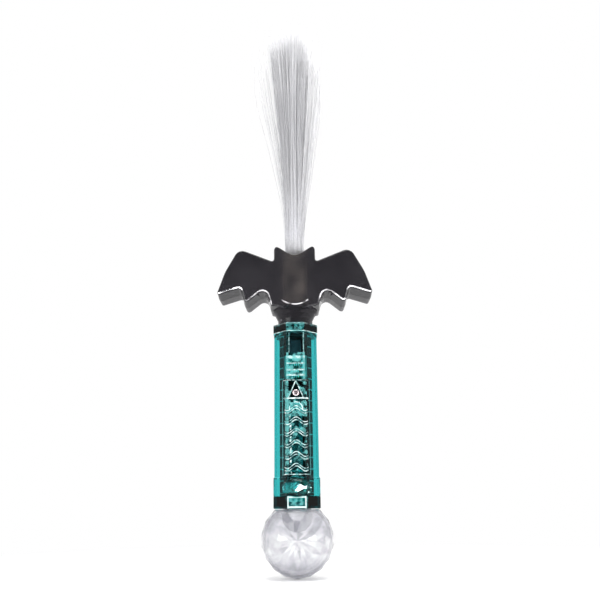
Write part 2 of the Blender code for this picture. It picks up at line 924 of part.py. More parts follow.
def contact_spring(name, y, base, tip):
    """A conical coil, wide at its base; its ends lie square to the plate and the cell."""
    wire = 0.00022
    turns, points_a_turn = 3, 8
    wide, narrow = CELL_RADIUS * 0.76, CELL_RADIUS * 0.42
    up = 1 if tip > base else -1
    low, high = base + up * wire, tip - up * wire
    straight = 2 * wire
    points = []
    total = turns * points_a_turn
    for number in range(total + 1):
        share = number / total
        radius = wide + (narrow - wide) * share
        angle = 2 * math.pi * turns * share
        height = low + up * straight + (high - low - 2 * up * straight) * share
        points.append(Vector((radius * math.cos(angle), y + radius * math.sin(angle), height)))
    points.insert(0, Vector((points[0].x, points[0].y, low)))
    points.append(Vector((points[-1].x, points[-1].y, high)))
    gap = least_gap(points, points_a_turn) - 2 * wire
    print(f"{name}: least gap between turns {gap * 1000:.2f} mm")
    return finish(tube(name, points, wire, 1), SPRING_STEEL)


def least_gap(points, apart):
    """The least distance between points that lie more than half a turn apart."""
    least = BIG
    for number, point in enumerate(points):
        for other in points[number + apart // 2 + 1 :]:
            least = min(least, (point - other).length)
    return least


def contact_plate(name, y_low, y_high, bottom):
    half = CELL_RADIUS * 0.84
    corners = [
        (-half, y_low, 0.0010),
        (half, y_low, 0.0010),
        (half, y_high, 0.0010),
        (-half, y_high, 0.0010),
    ]
    return finish(level_plate(name, rounded(corners), bottom, bottom + PLATE), SPRING_STEEL)


def battery_parts():
    cell_y = cell_places()
    plate_low = BAY_FLOOR + SEAT_GAP
    plate_high = BAY_TOP - SEAT_GAP - PLATE
    spring_end = SPRING_ROOM + SEAT_GAP
    front_low = plate_high - SEAT_GAP - CELL_LENGTH
    rear_low = plate_low + PLATE + SEAT_GAP
    battery_cell("cell_front", cell_y["front"], front_low, True)
    battery_cell("cell_rear", cell_y["rear"], rear_low, False)
    base = plate_low + PLATE + SEAT_GAP
    contact_spring("spring_front", cell_y["front"], base, base + spring_end - SEAT_GAP)
    base = plate_high - SEAT_GAP
    contact_spring("spring_rear", cell_y["rear"], base, base - spring_end + SEAT_GAP)
    half = CELL_RADIUS * 0.84
    contact_plate("negative_contact", cell_y["front"] - half, cell_y["front"] + half, plate_low)
    contact_plate("positive_contact", cell_y["rear"] - half, cell_y["rear"] + half, plate_low)
    contact_plate("bridge_contact", cell_y["front"] - half, cell_y["rear"] + half, plate_high)


# Electronics

LED_RIM = 0.0010


def light_diode(name, tip, rim, pointing):
    """A round lamp: rim is the far face of its flange, tip the end of its dome."""
    length = abs(tip - rim)
    dome = LED_RADIUS
    profile = [(0, length)]
    for step in range(1, 4):
        angle = math.pi / 2 * step / 3
        profile.append((dome * math.sin(angle), length - dome + dome * math.cos(angle)))
    profile += [(LED_RADIUS, LED_RIM), (LED_FLANGE, LED_RIM), (LED_FLANGE, 0), (0, 0)]
    lamp = turned(name, profile, 12)
    lamp.location.z = rim
    if pointing < 0:
        lamp.rotation_euler.x = math.pi
    return finish(lamp, CLEAR)


def led_holder():
    half_width, half_depth = HOLDER_WIDTH / 2, HOLDER_DEPTH / 2
    holder = box(
        "led_holder",
        (-half_width, -half_depth, HOLDER_BOTTOM),
        (half_width, half_depth, HOLDER_TOP),
    )
    bevel = holder.modifiers.new("Edges", "BEVEL")
    bevel.width = 0.0004
    seat = HOLDER_TOP - 0.0090
    cut(
        holder,
        rod("lamp_bore", LED_FLANGE + SEAT_GAP, (0, 0, seat), (0, 0, HOLDER_TOP + 0.001), 16),
    )
    light_diode("fibre_led", HOLDER_TOP - SEAT_GAP, seat + SEAT_GAP, 1)
    return finish(holder, BLACK)


def circuit_board():
    half = RAIL_INNER - SEAT_GAP
    corners = [
        (-half, BOARD_BOTTOM, 0.0008),
        (half, BOARD_BOTTOM, 0.0008),
        (half, BOARD_TOP, 0.0008),
        (-half, BOARD_TOP, 0.0008),
    ]
    board = upright("circuit_board", rounded(corners), BOARD_FRONT, BOARD_FRONT + BOARD)
    return finish(board, BOARD_GREEN)


def resistor(number):
    """A resistor lying across the board; its leads bend down to stand on the board."""
    height = BOARD_TOP - 0.0028 - number * RESISTOR_PITCH
    foot = BOARD_FRONT - SEAT_GAP
    lie = foot - RESISTOR_RADIUS - 0.0004
    end, body = RESISTOR_SPAN / 2, RESISTOR_LENGTH / 2
    bend = 0.0006
    wide = RESISTOR_RADIUS / LEAD_RADIUS
    half = [
        (end, foot, 1.0),
        (end, lie + bend, 1.0),
        (end - bend, lie, 1.0),
        (body + 0.0001, lie, 1.0),
        (body, lie, wide * 0.75),
        (body - 0.0004, lie, wide),
        (body - 0.0015, lie, wide * 0.88),
    ]
    whole = [(-x, y, share) for x, y, share in half] + half[::-1]
    points = [(x, y, height) for x, y, share in whole]
    shares = [share for x, y, share in whole]
    return finish(tube(f"resistor_{number + 1}", points, LEAD_RADIUS, 1, shares), RESISTOR_TAN)


def controller_chip():
    """The drop of black resin over the controller, on the board's back."""
    radius, thick = 0.0032, 0.0014
    profile = [(0, thick)]
    for step in range(1, 4):
        angle = math.pi / 2 * step / 4
        profile.append((radius * math.sin(angle), thick * math.cos(angle)))
    profile += [(radius, 0), (0, 0)]
    chip = turned("controller_chip", profile, 12)
    chip.location = (0, BOARD_FRONT + BOARD + SEAT_GAP, (BOARD_BOTTOM + BOARD_TOP) / 2)
    chip.rotation_euler.x = -math.pi / 2
    return finish(chip, BLACK)


def wire(name, side, start_y, look):
    """A lead from the battery bay, out over the chassis rail and back in to the board."""
    inside = side * (CELL_RADIUS + SEAT_GAP + CRADLE / 2)
    outside = side * (RAIL_OUTER - WIRE_GROOVE + SEAT_GAP + WIRE_RADIUS)
    in_rail = side * (RAIL_OUTER + RAIL_INNER - WIRE_GROOVE) / 2
    lower, upper = (low + WIRE_SLOT / 2 for low in wire_slots())
    board_y = BOARD_FRONT + BOARD + SEAT_GAP + WIRE_RADIUS
    board_x = side * (RAIL_INNER - 0.0020)
    stops = [
        (inside, start_y, BAY_FLOOR + PLATE + 3 * SEAT_GAP),
        (inside, WIRE_PLACE, lower - 0.0006),
        (in_rail, WIRE_PLACE, lower),
        (outside, WIRE_PLACE, lower + 0.0018),
        (outside, WIRE_PLACE, (lower + upper) / 2),
        (outside, WIRE_PLACE, upper - 0.0018),
        (in_rail, WIRE_PLACE, upper),
        (side * (RAIL_INNER - 0.0014), WIRE_PLACE * 0.6, upper + 0.0006),
        (board_x, board_y, upper + 0.0012),
    ]
    return finish(tube(name, smooth_route(stops, 2), WIRE_RADIUS, 1), look)


# Head


def body_bulge(name, half_width, rise, front, low, high):
    """A bar along Z whose section is a shallow arc that stands out of the face."""
    radius = (half_width**2 + rise**2) / (2 * rise)
    swing = math.asin(half_width / radius)
    steps = 8
    outline = []
    for step in range(steps + 1):
        angle = -swing + 2 * swing * step / steps
        outline.append((radius * math.sin(angle), front - rise + radius * (1 - math.cos(angle))))
    outline += [(half_width, front + 0.0010), (-half_width, front + 0.0010)]
    return level_plate(name, outline, low, high)


def funnel(name, shrink, low):
    """The neck's flare: a circle that widens into an oval under the head."""
    base = HANDLE_LENGTH + SEAT_GAP
    round_half = NECK_SKIRT - shrink
    wide, deep = FUNNEL_HALF_WIDTH - shrink, FUNNEL_HALF_DEPTH - shrink
    stations = (
        (low, 0.0),
        (base + 0.0040, 0.0),
        (base + 0.0072, 0.38),
        (base + 0.0100, 0.86),
        (base + FUNNEL_HEIGHT, 1.0),
    )
    rings = []
    for height, share in stations:
        half_x = round_half + (wide - round_half) * share
        half_y = round_half + (deep - round_half) * share
        ring = []
        for step in range(24):
            angle = 2 * math.pi * step / 24
            ring.append((half_x * math.cos(angle), half_y * math.sin(angle), height))
        rings.append(ring)
    return loft(name, rings)


def neck_plug():
    """The neck below the flare, with the flange that the handle holds."""
    return turned(
        "neck_plug",
        [
            (0, NECK_SEAT),
            (NECK_RADIUS, NECK_SEAT),
            (NECK_RADIUS, COLLAR_CEILING - SEAT_GAP),
            (INNER_HALF - SEAT_GAP, COLLAR_CEILING - SEAT_GAP),
            (INNER_HALF - SEAT_GAP, LEDGE_TOP + SEAT_GAP),
            (0, LEDGE_TOP + SEAT_GAP),
        ],
        24,
    )


def head_front():
    """The front half of the smoked head, hollow, with half of the neck."""
    slope = HEAD_FLARE / HEAD_HALF
    fillet = HEAD_FILLET
    edge = -HEAD_HALF + fillet
    shell = loft(
        "head_front",
        [
            head_ring(HEAD_SIDE, HEAD_FLARE, 0),
            head_ring(HEAD_SIDE, slope * fillet, edge),
            head_ring(HEAD_SIDE, slope * fillet - fillet * 0.30, edge - fillet * 0.71),
            head_ring(HEAD_SIDE, slope * fillet - fillet, -HEAD_HALF),
        ],
    )
    top = HANDLE_LENGTH + BIG
    bulge = body_bulge("bulge", BODY_HALF_WIDTH, BODY_RISE, -HEAD_HALF, HANDLE_LENGTH, top)
    crown = HEAD_HALF + BODY_RISE
    keep(
        bulge,
        loft(
            "bulge_ends",
            [
                head_ring(BODY_SIDE, 0, -HEAD_HALF + 0.0012),
                head_ring(BODY_SIDE, 0, -crown + BODY_FILLET),
                head_ring(BODY_SIDE, -BODY_FILLET * 0.29, -crown + BODY_FILLET * 0.29),
                head_ring(BODY_SIDE, -BODY_FILLET, -crown - 0.0002),
            ],
        ),
    )
    join(shell, bulge, funnel("flare", 0.0, HANDLE_LENGTH + SEAT_GAP), neck_plug())
    inner_front = -HEAD_HALF + HEAD_WALL
    hollow = loft(
        "hollow",
        [
            head_ring(HEAD_SIDE, HEAD_FLARE - HEAD_WALL, 0.001),
            head_ring(HEAD_SIDE, slope * HEAD_WALL - HEAD_WALL, inner_front),
        ],
    )
    join(
        hollow,
        body_bulge(
            "bulge_hollow",
            BODY_HALF_WIDTH - HEAD_WALL,
            BODY_RISE * 0.86,
            inner_front + 0.0001,
            HANDLE_LENGTH + HEAD_BASE[1] + 2 * HEAD_WALL,
            HANDLE_LENGTH + EAR_DIP[1] - HEAD_WALL,
        ),
        funnel("flare_hollow", HEAD_WALL, NECK_SEAT),
        rod("tube_passage", NECK_BORE, (0, 0, NECK_SEAT - 0.0001), (0, 0, top), 24),
        rod("bundle_passage", BUNDLE_RADIUS + SEAT_GAP, (0, 0, 0), (0, 0, NECK_SEAT + 0.001), 24),
    )
    cut(shell, hollow)
    cut_rear_half(shell)
    return finish(shell, SMOKE)


def turned_copy(name, source):
    """The finished source turned half way round the wand's axis."""
    graph = bpy.context.evaluated_depsgraph_get()
    mesh = bpy.data.meshes.new_from_object(source.evaluated_get(graph))
    mesh.transform(source.matrix_local)
    mesh.name = name
    made = add_object(name, mesh)
    made.rotation_euler.z = math.pi
    return made


def fibre_tube():
    low = NECK_SEAT + SEAT_GAP
    return finish(
        turned(
            "fibre_tube",
            [
                (TUBE_RADIUS, TUBE_TOP),
                (TUBE_RADIUS, low),
                (TUBE_BORE, low),
                (TUBE_BORE, TUBE_TOP),
            ],
            24,
            True,
        ),
        BLACK,
    )


# Fibres


def strand_point(place, share):
    """Where a strand that starts at place has got to when its spread is at share."""
    spread = 1 + (TUFT_TIP_RADIUS / BUNDLE_RADIUS - 1) * share
    return Vector((place.x * spread + TUFT_LEAN * share * share, place.y * spread))


def strand_place(point, share):
    """The place in the bundle of the strand that passes through point."""
    spread = 1 + (TUFT_TIP_RADIUS / BUNDLE_RADIUS - 1) * share
    return Vector(((point.x - TUFT_LEAN * share * share) / spread, point.y / spread))


def strand_height(place):
    """The length of a strand: a ragged crown, highest in the middle."""
    away = place.length / BUNDLE_RADIUS
    ragged = math.sin(place.x * 9100 + place.y * 4700) * TUFT_RAGGED
    return TUFT_LENGTH - TUFT_CROWN * away * away + ragged


def fibre_tuft():
    """The packed bundle with its free strands fused to its upper face."""
    bundle_low = HOLDER_TOP + BUNDLE_LIFT
    bundle_top = TUBE_TOP - 0.0015
    bm = bmesh.new()
    bmesh.ops.create_circle(bm, cap_ends=True, cap_tris=True, segments=6, radius=1.0)
    bmesh.ops.subdivide_edges(bm, edges=bm.edges[:], cuts=LATTICE - 1, use_grid_fill=True)
    for vert in bm.verts:
        # The lattice is a hexagon, and its edge is drawn out to the circle round it.
        sector = (math.atan2(vert.co.y, vert.co.x) + math.pi / 6) % (math.pi / 3) - math.pi / 6
        vert.co *= BUNDLE_RADIUS * math.cos(sector) / math.cos(math.pi / 6)
        vert.co.z = bundle_low
    bottom = bm.faces[:]
    raised = bmesh.ops.extrude_face_region(bm, geom=bottom)["geom"]
    lift = Vector((0, 0, bundle_top - bundle_low))
    raised_verts = [item for item in raised if isinstance(item, bmesh.types.BMVert)]
    bmesh.ops.translate(bm, vec=lift, verts=raised_verts)
    tops = [item for item in raised if isinstance(item, bmesh.types.BMFace)]
    bmesh.ops.dissolve_faces(bm, faces=bottom, use_verts=True)
    bmesh.ops.inset_individual(bm, faces=tops, thickness=STRAND_INSET, use_even_offset=True)
    spread, level = 0.0, 0.0
    for next_spread, next_level in ((TUFT_WAIST_SHARE, TUFT_WAIST), (1.0, 1.0)):
        tops = bmesh.ops.extrude_discrete_faces(bm, faces=tops)["faces"]
        for face in tops:
            place = strand_place(face.calc_center_median().xy, spread)
            move = strand_point(place, next_spread) - strand_point(place, spread)
            rise = strand_height(place) * (next_level - level)
            bmesh.ops.translate(bm, vec=(*move, rise), verts=face.verts)
        spread, level = next_spread, next_level
    bmesh.ops.recalc_face_normals(bm, faces=bm.faces)
    return finish(from_bmesh("fibre_tuft", bm), FIBRE)


# Ball


def faceted_ball(name, radius):
    """A ball cut with facets that run round the Y axis, every other ring turned."""
    rings = len(BALL_RINGS) + 1
    bm = bmesh.new()
    bmesh.ops.create_uvsphere(bm, u_segments=BALL_SIDES, v_segments=2 * rings, radius=1.0)
    half_side = math.pi / BALL_SIDES
    angles = [0, *BALL_RINGS, 90]
    for vert in bm.verts:
        level = round(math.acos(max(-1, min(1, abs(vert.co.z)))) / (math.pi / 2) * rings)
        away = math.radians(angles[level])
        turn = math.atan2(vert.co.y, vert.co.x) + (half_side if (rings - level) % 2 else 0)
        side = math.copysign(1, vert.co.z) if level < rings else 0
        vert.co = radius * Vector(
            (math.sin(away) * math.cos(turn), math.sin(away) * math.sin(turn), side * math.cos(away))
        )
    bmesh.ops.triangulate(bm, faces=bm.faces, quad_method="SHORT_EDGE")
    bmesh.ops.rotate(bm, matrix=quarter_turn(), verts=bm.verts)
    bmesh.ops.recalc_face_normals(bm, faces=bm.faces)
    ball = from_bmesh(name, bm)
    ball.location.z = BALL_HEIGHT
    return ball


def quarter_turn():
    return Vector((0, 0, 1)).rotation_difference(Vector((0, -1, 0))).to_matrix()


def ball_front():
    """The front half of the clear ball, hollow, with half of its neck."""
    shell = faceted_ball("ball_front", BALL_RADIUS)
    cut(shell, box("ball_top", (-BIG, -BIG, -SEAT_GAP), (BIG, BIG, BIG)))
    hollow = faceted_ball("ball_hollow", BALL_RADIUS - BALL_WALL)
    cut(hollow, box("ball_roof", (-BIG, -BIG, -SEAT_GAP - BALL_WALL), (BIG, BIG, BIG)))
    cut(shell, hollow)
    flange_low = FLOOR + SEAT_GAP
    flange = BALL_NECK + BALL_FLANGE_STEP
    neck = turned(
        "ball_neck",
        [
            (0, flange_low + BALL_FLANGE),
            (flange, flange_low + BALL_FLANGE),
            (flange, flange_low),
            (BALL_NECK, flange_low),
            (BALL_NECK, -SEAT_GAP - BALL_WALL / 2),
            (0, -SEAT_GAP - BALL_WALL / 2),
        ],
        24,
    )
    join(shell, neck)
    bore = BALL_NECK - BALL_NECK_WALL
    cut(shell, rod("ball_bore", bore, (0, 0, -0.006), (0, 0, 0.01), 24))
    cut_rear_half(shell)
    return finish(shell, CLEAR)


def ball_diffuser():
    """A frosted cup over the ball's lamp, held by its collar in the ball's neck."""
    collar = BALL_NECK - BALL_NECK_WALL - SEAT_GAP
    bore = collar - DIFFUSER_WALL
    top = FLOOR + SEAT_GAP + BALL_FLANGE
    shoulder = -2 * SEAT_GAP - BALL_WALL
    thin = DIFFUSER_WALL
    steps = 4
    inner, outer = [], []
    for step in range(steps):
        angle = math.pi / 2 * step / (steps - 1)
        across, along = math.cos(angle), math.sin(angle)
        outer.append((DIFFUSER_RADIUS * across, shoulder - thin - (DIFFUSER_DROP - thin) * along))
        inner.append(
            (
                (DIFFUSER_RADIUS - thin) * across,
                shoulder - thin - (DIFFUSER_DROP - 2 * thin) * along,
            )
        )
    profile = [*inner[::-1], (bore, shoulder - thin), (bore, top), (collar, top)]
    profile += [(collar, shoulder), (DIFFUSER_RADIUS, shoulder), *outer]
    profile[0] = (0, profile[0][1])
    profile[-1] = (0, profile[-1][1])
    return finish(turned("ball_diffuser", profile, 16), FROSTED)


def bottom_plug():
    """The black plug that holds the ball's neck and its lamp in the foot."""
    low = FLOOR + SEAT_GAP
    flange = BALL_NECK + BALL_FLANGE_STEP + SEAT_GAP
    plug = octagonal_bar("bottom_plug", INNER_HALF - SEAT_GAP, low, BAND_HEIGHT)
    window = 0.0052
    cut(
        plug,
        rod("flange_bore", flange, (0, 0, 0), (0, 0, low + BALL_FLANGE + SEAT_GAP), 24),
        rod("lamp_hole", LED_RADIUS + SEAT_GAP, (0, 0, 0), (0, 0, 0.02)),
        box("plug_window", (-window, -BIG, 0), (window, -WEB_FRONT + 0.001, BIG)),
    )
    return finish(plug, BLACK)


def build():
    handle_front()
    handle_rear()
    top_collar()
    battery_door()
    screw("door_screw", DOOR_SCREW_HEIGHT, -GRIP_HALF + DOOR_SCREW_SINK, -1)
    screw("rear_screw_lower", REAR_SCREW_HEIGHTS[0], REAR_SCREW_SEAT, 1)
    screw("rear_screw_upper", REAR_SCREW_HEIGHTS[1], REAR_SCREW_SEAT, 1)
    button, button_back = push_button()
    board_back = switch_parts(button_back)
    chassis(board_back)
    battery_parts()
    circuit_board()
    for number in range(RESISTOR_COUNT):
        resistor(number)
    controller_chip()
    led_holder()
    cell_y = cell_places()
    wire("wire_red", 1, cell_y["rear"], WIRE_RED)
    wire("wire_black", -1, cell_y["front"], BLACK)
    turned_copy("head_rear", head_front())
    fibre_tube()
    fibre_tuft()
    turned_copy("ball_rear", ball_front())
    ball_diffuser()
    light_diode("ball_led", -0.0020, BAND_HEIGHT + SEAT_GAP + LED_RIM, -1)
    bottom_plug()


clear_scene()
PARTS, CUTTERS = make_collections()
WAND = bpy.data.objects.new("grip_centre", None)
WAND.location.z = -HANDLE_LENGTH / 2
PARTS.objects.link(WAND)

TEAL = material("teal_clear", (0.02, 0.55, 0.55), 0.08, transmission=0.9)
BUTTON_TEAL = material("teal_button", (0.02, 0.42, 0.42), 0.12, transmission=0.5)
SMOKE = material("smoked_black", (0.035, 0.032, 0.038), 0.08, transmission=0.5)
CLEAR = material("clear", (0.93, 0.93, 0.95), 0.05, transmission=0.95)
FROSTED = material("frosted", (0.75, 0.77, 0.80), 0.45, transmission=0.6)
FIBRE = material("light_fibre", (0.80, 0.82, 0.88), 0.20, transmission=0.5)
BLACK = material("black", (0.02, 0.02, 0.022), 0.35)
DARK = material("chassis_black", (0.045, 0.05, 0.055), 0.45)
SCREW_STEEL = material("screw_steel", (0.72, 0.62, 0.62), 0.30, metallic=1.0)
SPRING_STEEL = material("contact_steel", (0.75, 0.75, 0.76), 0.25, metallic=1.0)
CELL_STEEL = material("cell_jacket", (0.10, 0.20, 0.20), 0.35, metallic=0.3)
BOARD_GREEN = material("board_green", (0.05, 0.30, 0.18), 0.45)
RESISTOR_TAN = material("resistor_tan", (0.72, 0.60, 0.42), 0.45)
WIRE_RED = material("wire_red", (0.55, 0.06, 0.05), 0.45)

build()
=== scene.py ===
"""Light-up wand: looks, fine fibres, lamps and the photographed view.

Lengths are in metres. A node's own coordinates equal world coordinates at rest, so a height
in a look is a world height, and most are counted from the wand's foot.
"""

import math

import bpy
import numpy as np
from mathutils import Matrix, Vector


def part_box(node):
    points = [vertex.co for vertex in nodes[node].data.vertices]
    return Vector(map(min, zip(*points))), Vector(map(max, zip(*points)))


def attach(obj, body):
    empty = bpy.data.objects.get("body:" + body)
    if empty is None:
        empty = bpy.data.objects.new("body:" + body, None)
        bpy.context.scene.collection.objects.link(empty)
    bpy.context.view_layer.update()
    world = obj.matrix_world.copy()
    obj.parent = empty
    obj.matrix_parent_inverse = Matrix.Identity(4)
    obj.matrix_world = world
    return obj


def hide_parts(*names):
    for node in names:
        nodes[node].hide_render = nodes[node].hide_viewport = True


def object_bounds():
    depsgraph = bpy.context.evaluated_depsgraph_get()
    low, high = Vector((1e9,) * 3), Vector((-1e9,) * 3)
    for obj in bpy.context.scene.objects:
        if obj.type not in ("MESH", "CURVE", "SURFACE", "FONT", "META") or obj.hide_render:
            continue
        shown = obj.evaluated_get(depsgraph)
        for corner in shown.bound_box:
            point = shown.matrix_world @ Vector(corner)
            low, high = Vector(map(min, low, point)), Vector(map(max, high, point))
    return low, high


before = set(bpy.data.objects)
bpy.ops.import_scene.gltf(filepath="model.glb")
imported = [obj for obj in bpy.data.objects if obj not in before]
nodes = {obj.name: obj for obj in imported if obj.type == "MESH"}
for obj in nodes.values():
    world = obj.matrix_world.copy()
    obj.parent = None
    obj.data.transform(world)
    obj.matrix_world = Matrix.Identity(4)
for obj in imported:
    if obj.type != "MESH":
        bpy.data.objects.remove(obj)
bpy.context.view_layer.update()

HANDLE_LENGTH = 0.1173
FOOT = -HANDLE_LENGTH / 2


def above_foot(low, high):
    """Two world heights, from heights above the wand's foot."""
    return FOOT + low, FOOT + high


# Node helpers


def parts_of(made):
    """A material's node tree and its main shader."""
    return made.node_tree, made.node_tree.nodes["Principled BSDF"]


def new_material(name):
    made = bpy.data.materials.new(name)
    made.use_nodes = True
    return (made, *parts_of(made))


def node(tree, kind, **values):
    made = tree.nodes.new(kind)
    for key, value in values.items():
        if key in made.inputs:
            made.inputs[key].default_value = value
        else:
            setattr(made, key, value)
    return made


def object_coordinates(tree):
    return node(tree, "ShaderNodeTexCoord").outputs["Object"]


def noise(tree, scale, detail=3.0):
    made = node(tree, "ShaderNodeTexNoise", Scale=scale, Detail=detail)
    tree.links.new(object_coordinates(tree), made.inputs["Vector"])
    return made.outputs["Fac"]


def ranged(tree, value, low, high, start=0.3, end=0.7):
    """A value taken from the range start to end into the range low to high."""
    made = node(tree, "ShaderNodeMapRange")
    made.inputs["From Min"].default_value = start
    made.inputs["From Max"].default_value = end
    made.inputs["To Min"].default_value = low
    made.inputs["To Max"].default_value = high
    tree.links.new(value, made.inputs["Value"])
    return made.outputs["Result"]


def faded_in(tree, value, start, end):
    """0 at the start, 1 at the end."""
    return ranged(tree, value, 0.0, 1.0, start, end)


def faded_out(tree, value, start, end):
    """1 at the start, 0 at the end."""
    return ranged(tree, value, 1.0, 0.0, start, end)


def ramp(tree, value, stops):
    made = node(tree, "ShaderNodeValToRGB")
    band = made.color_ramp
    while len(band.elements) < len(stops):
        band.elements.new(0.5)
    for element, (position, colour) in zip(band.elements, stops):
        element.position = position
        element.color = (*colour, 1)
    tree.links.new(value, made.inputs["Fac"])
    return made.outputs["Color"]


def math_node(tree, operation, first, second=0.0):
    made = node(tree, "ShaderNodeMath", operation=operation)
    for number, value in enumerate((first, second)):
        if isinstance(value, (int, float)):
            made.inputs[number].default_value = value
        else:
            tree.links.new(value, made.inputs[number])
    return made.outputs["Value"]


def magnitude(tree, value):
    return math_node(tree, "ABSOLUTE", value)


def scaled(tree, value, factor):
    return math_node(tree, "MULTIPLY", value, factor)


def below(tree, value, limit):
    """1 where a value is less than a limit, otherwise 0."""
    return math_node(tree, "LESS_THAN", value, limit)


def beyond(tree, value, limit):
    """1 where a value is more than a limit, otherwise 0."""
    return math_node(tree, "GREATER_THAN", value, limit)


def within(tree, value, low, high):
    """1 where a value lies between two limits, otherwise 0."""
    made = node(tree, "ShaderNodeMath", operation="COMPARE")
    tree.links.new(value, made.inputs[0])
    made.inputs[1].default_value = (low + high) / 2
    made.inputs[2].default_value = (high - low) / 2
    return made.outputs["Value"]


def chain(tree, value, *steps):
    """A value taken through one sum after another."""
    for operation, number in steps:
        value = math_node(tree, operation, value, number)
    return value


def any_of(tree, *shares):
    """The largest of some shares."""
    value = shares[0]
    for share in shares[1:]:
        value = math_node(tree, "MAXIMUM", value, share)
    return value


def all_of(tree, *shares):
    """The product of some shares."""
    value = shares[0]
    for share in shares[1:]:
        value = math_node(tree, "MULTIPLY", value, share)
    return value


def from_nearest(tree, value, first, pitch):
    """Distance to the nearest of a row of places that are a pitch apart."""
    steps = (("SUBTRACT", first), ("DIVIDE", pitch), ("ADD", 0.5), ("FRACT", 0))
    return chain(tree, value, *steps, ("SUBTRACT", 0.5), ("ABSOLUTE", 0), ("MULTIPLY", pitch))


def place_of(tree, kind="Object"):
    """X, Y and Z of the object's own coordinates, or of its normal or the world's direction."""
    split = node(tree, "ShaderNodeSeparateXYZ")
    tree.links.new(node(tree, "ShaderNodeTexCoord").outputs[kind], split.inputs["Vector"])
    return split.outputs["X"], split.outputs["Y"], split.outputs["Z"]


def mixed(tree, share, first, second):
    """The first colour where the share is 0, the second where it is 1."""
    made = node(tree, "ShaderNodeMixRGB")
    tree.links.new(share, made.inputs["Fac"])
    for socket, colour in (("Color1", first), ("Color2", second)):
        if isinstance(colour, tuple):
            made.inputs[socket].default_value = (*colour, 1)
        else:
            tree.links.new(colour, made.inputs[socket])
    return made.outputs["Color"]


def shaded(tree, tone, shade):
    """A colour darkened by another."""
    made = node(tree, "ShaderNodeMixRGB", blend_type="MULTIPLY", Fac=1.0)
    tree.links.new(tone, made.inputs["Color1"])
    tree.links.new(shade, made.inputs["Color2"])
    return made.outputs["Color"]


def add_bump(tree, shader, height, strength, distance):
    made = node(tree, "ShaderNodeBump", Strength=strength, Distance=distance)
    tree.links.new(height, made.inputs["Height"])
    tree.links.new(made.outputs["Normal"], shader.inputs["Normal"])


UNEVEN = (0.38, 0.58)


def uneven(tree, share, scale, low=0.35):
    """A share that comes and goes a little, as gathered light does along an edge."""
    return all_of(tree, share, ranged(tree, noise(tree, scale, 2.0), low, 1.0, *UNEVEN))


def patches(tree, scale, start, end, most=1.0):
    """Soft irregular patches: 0 up to the noise level start, most from the level end on."""
    return ranged(tree, noise(tree, scale, 1.5), 0.0, most, start, end)


# Plastics and metals

REAL_INDEX = 1.53
FINE_GRAIN = 0.00002


def clear_plastic(name, colour, rough=(0.02, 0.05), ior=REAL_INDEX, wave=FINE_GRAIN):
    """Moulded clear plastic: even tint, faint swirls in gloss and surface."""
    made, tree, shader = new_material(name)
    shader.inputs["Base Color"].default_value = (*colour, 1)
    shader.inputs["Transmission Weight"].default_value = 1.0
    shader.inputs["IOR"].default_value = ior
    gloss = ranged(tree, noise(tree, 130.0, 4.0), *rough)
    tree.links.new(gloss, shader.inputs["Roughness"])
    add_bump(tree, shader, noise(tree, 60.0, 1.0), 0.35, wave)
    return made


TONE_SPREAD = 0.25


def solid_plastic(name, colour, rough=(0.3, 0.45), shine=0.5):
    """Moulded opaque plastic with a fine grain and slightly uneven colour."""
    made, tree, shader = new_material(name)
    dark = tuple(value * (1 - TONE_SPREAD) for value in colour)
    light = tuple(min(value * (1 + TONE_SPREAD), 1.0) for value in colour)
    tone = ramp(tree, noise(tree, 220.0, 4.0), [(0.35, dark), (0.65, light)])
    tree.links.new(tone, shader.inputs["Base Color"])
    gloss = ranged(tree, noise(tree, 260.0), *rough)
    tree.links.new(gloss, shader.inputs["Roughness"])
    shader.inputs["Specular IOR Level"].default_value = shine
    add_bump(tree, shader, noise(tree, 900.0, 2.0), 0.4, FINE_GRAIN)
    return made


METAL_DARKER = 0.82
METAL_ROUGH = (0.18, 0.32)


def metal(name, colour, brushed=0.0):
    made, tree, shader = new_material(name)
    shader.inputs["Metallic"].default_value = 1.0
    dark = tuple(value * METAL_DARKER for value in colour)
    tone = ramp(tree, noise(tree, 500.0, 4.0), [(0.3, dark), (0.7, colour)])
    tree.links.new(tone, shader.inputs["Base Color"])
    gloss = ranged(tree, noise(tree, 700.0), *METAL_ROUGH)
    tree.links.new(gloss, shader.inputs["Roughness"])
    if brushed:
        add_bump(tree, shader, noise(tree, 1500.0, 2.0), brushed, FINE_GRAIN)
    return made


def painted(made, share, colour):
    """Paint a colour over a material's own one where the share is 1."""
    tree, shader = parts_of(made)
    own = shader.inputs["Base Color"].links[0].from_socket
    tree.links.new(mixed(tree, share, own, colour), shader.inputs["Base Color"])
    return made


# Clear teal: housing, door, collar and button

TEAL_COLOUR = (0.17, 0.70, 0.71)
MILKY_TEAL = (0.28, 0.86, 0.82)
# Painted shade on the slanting corner facets, standing for the dark parts behind and their inner
# reflections.
CORNER_SHADE = (0.004, 0.03, 0.035)
# Murky teal, also the colour of the painted shadow beside the door's ridges.
DEEP_TEAL = (0.01, 0.16, 0.17)
# Colour of the painted highlights along the clear teal's edges.
EDGE_HIGHLIGHT = (0.80, 0.96, 0.95)
# Lower than real plastic's, because the photographed handle mirrors little.
TEAL_INDEX = 1.25
PALE_CLEAR = 0.25
LINE_NOISE = 420.0
# Size of the normal's X part on the slanting facets of the octagon.
SLANTING = (0.5, 0.9)


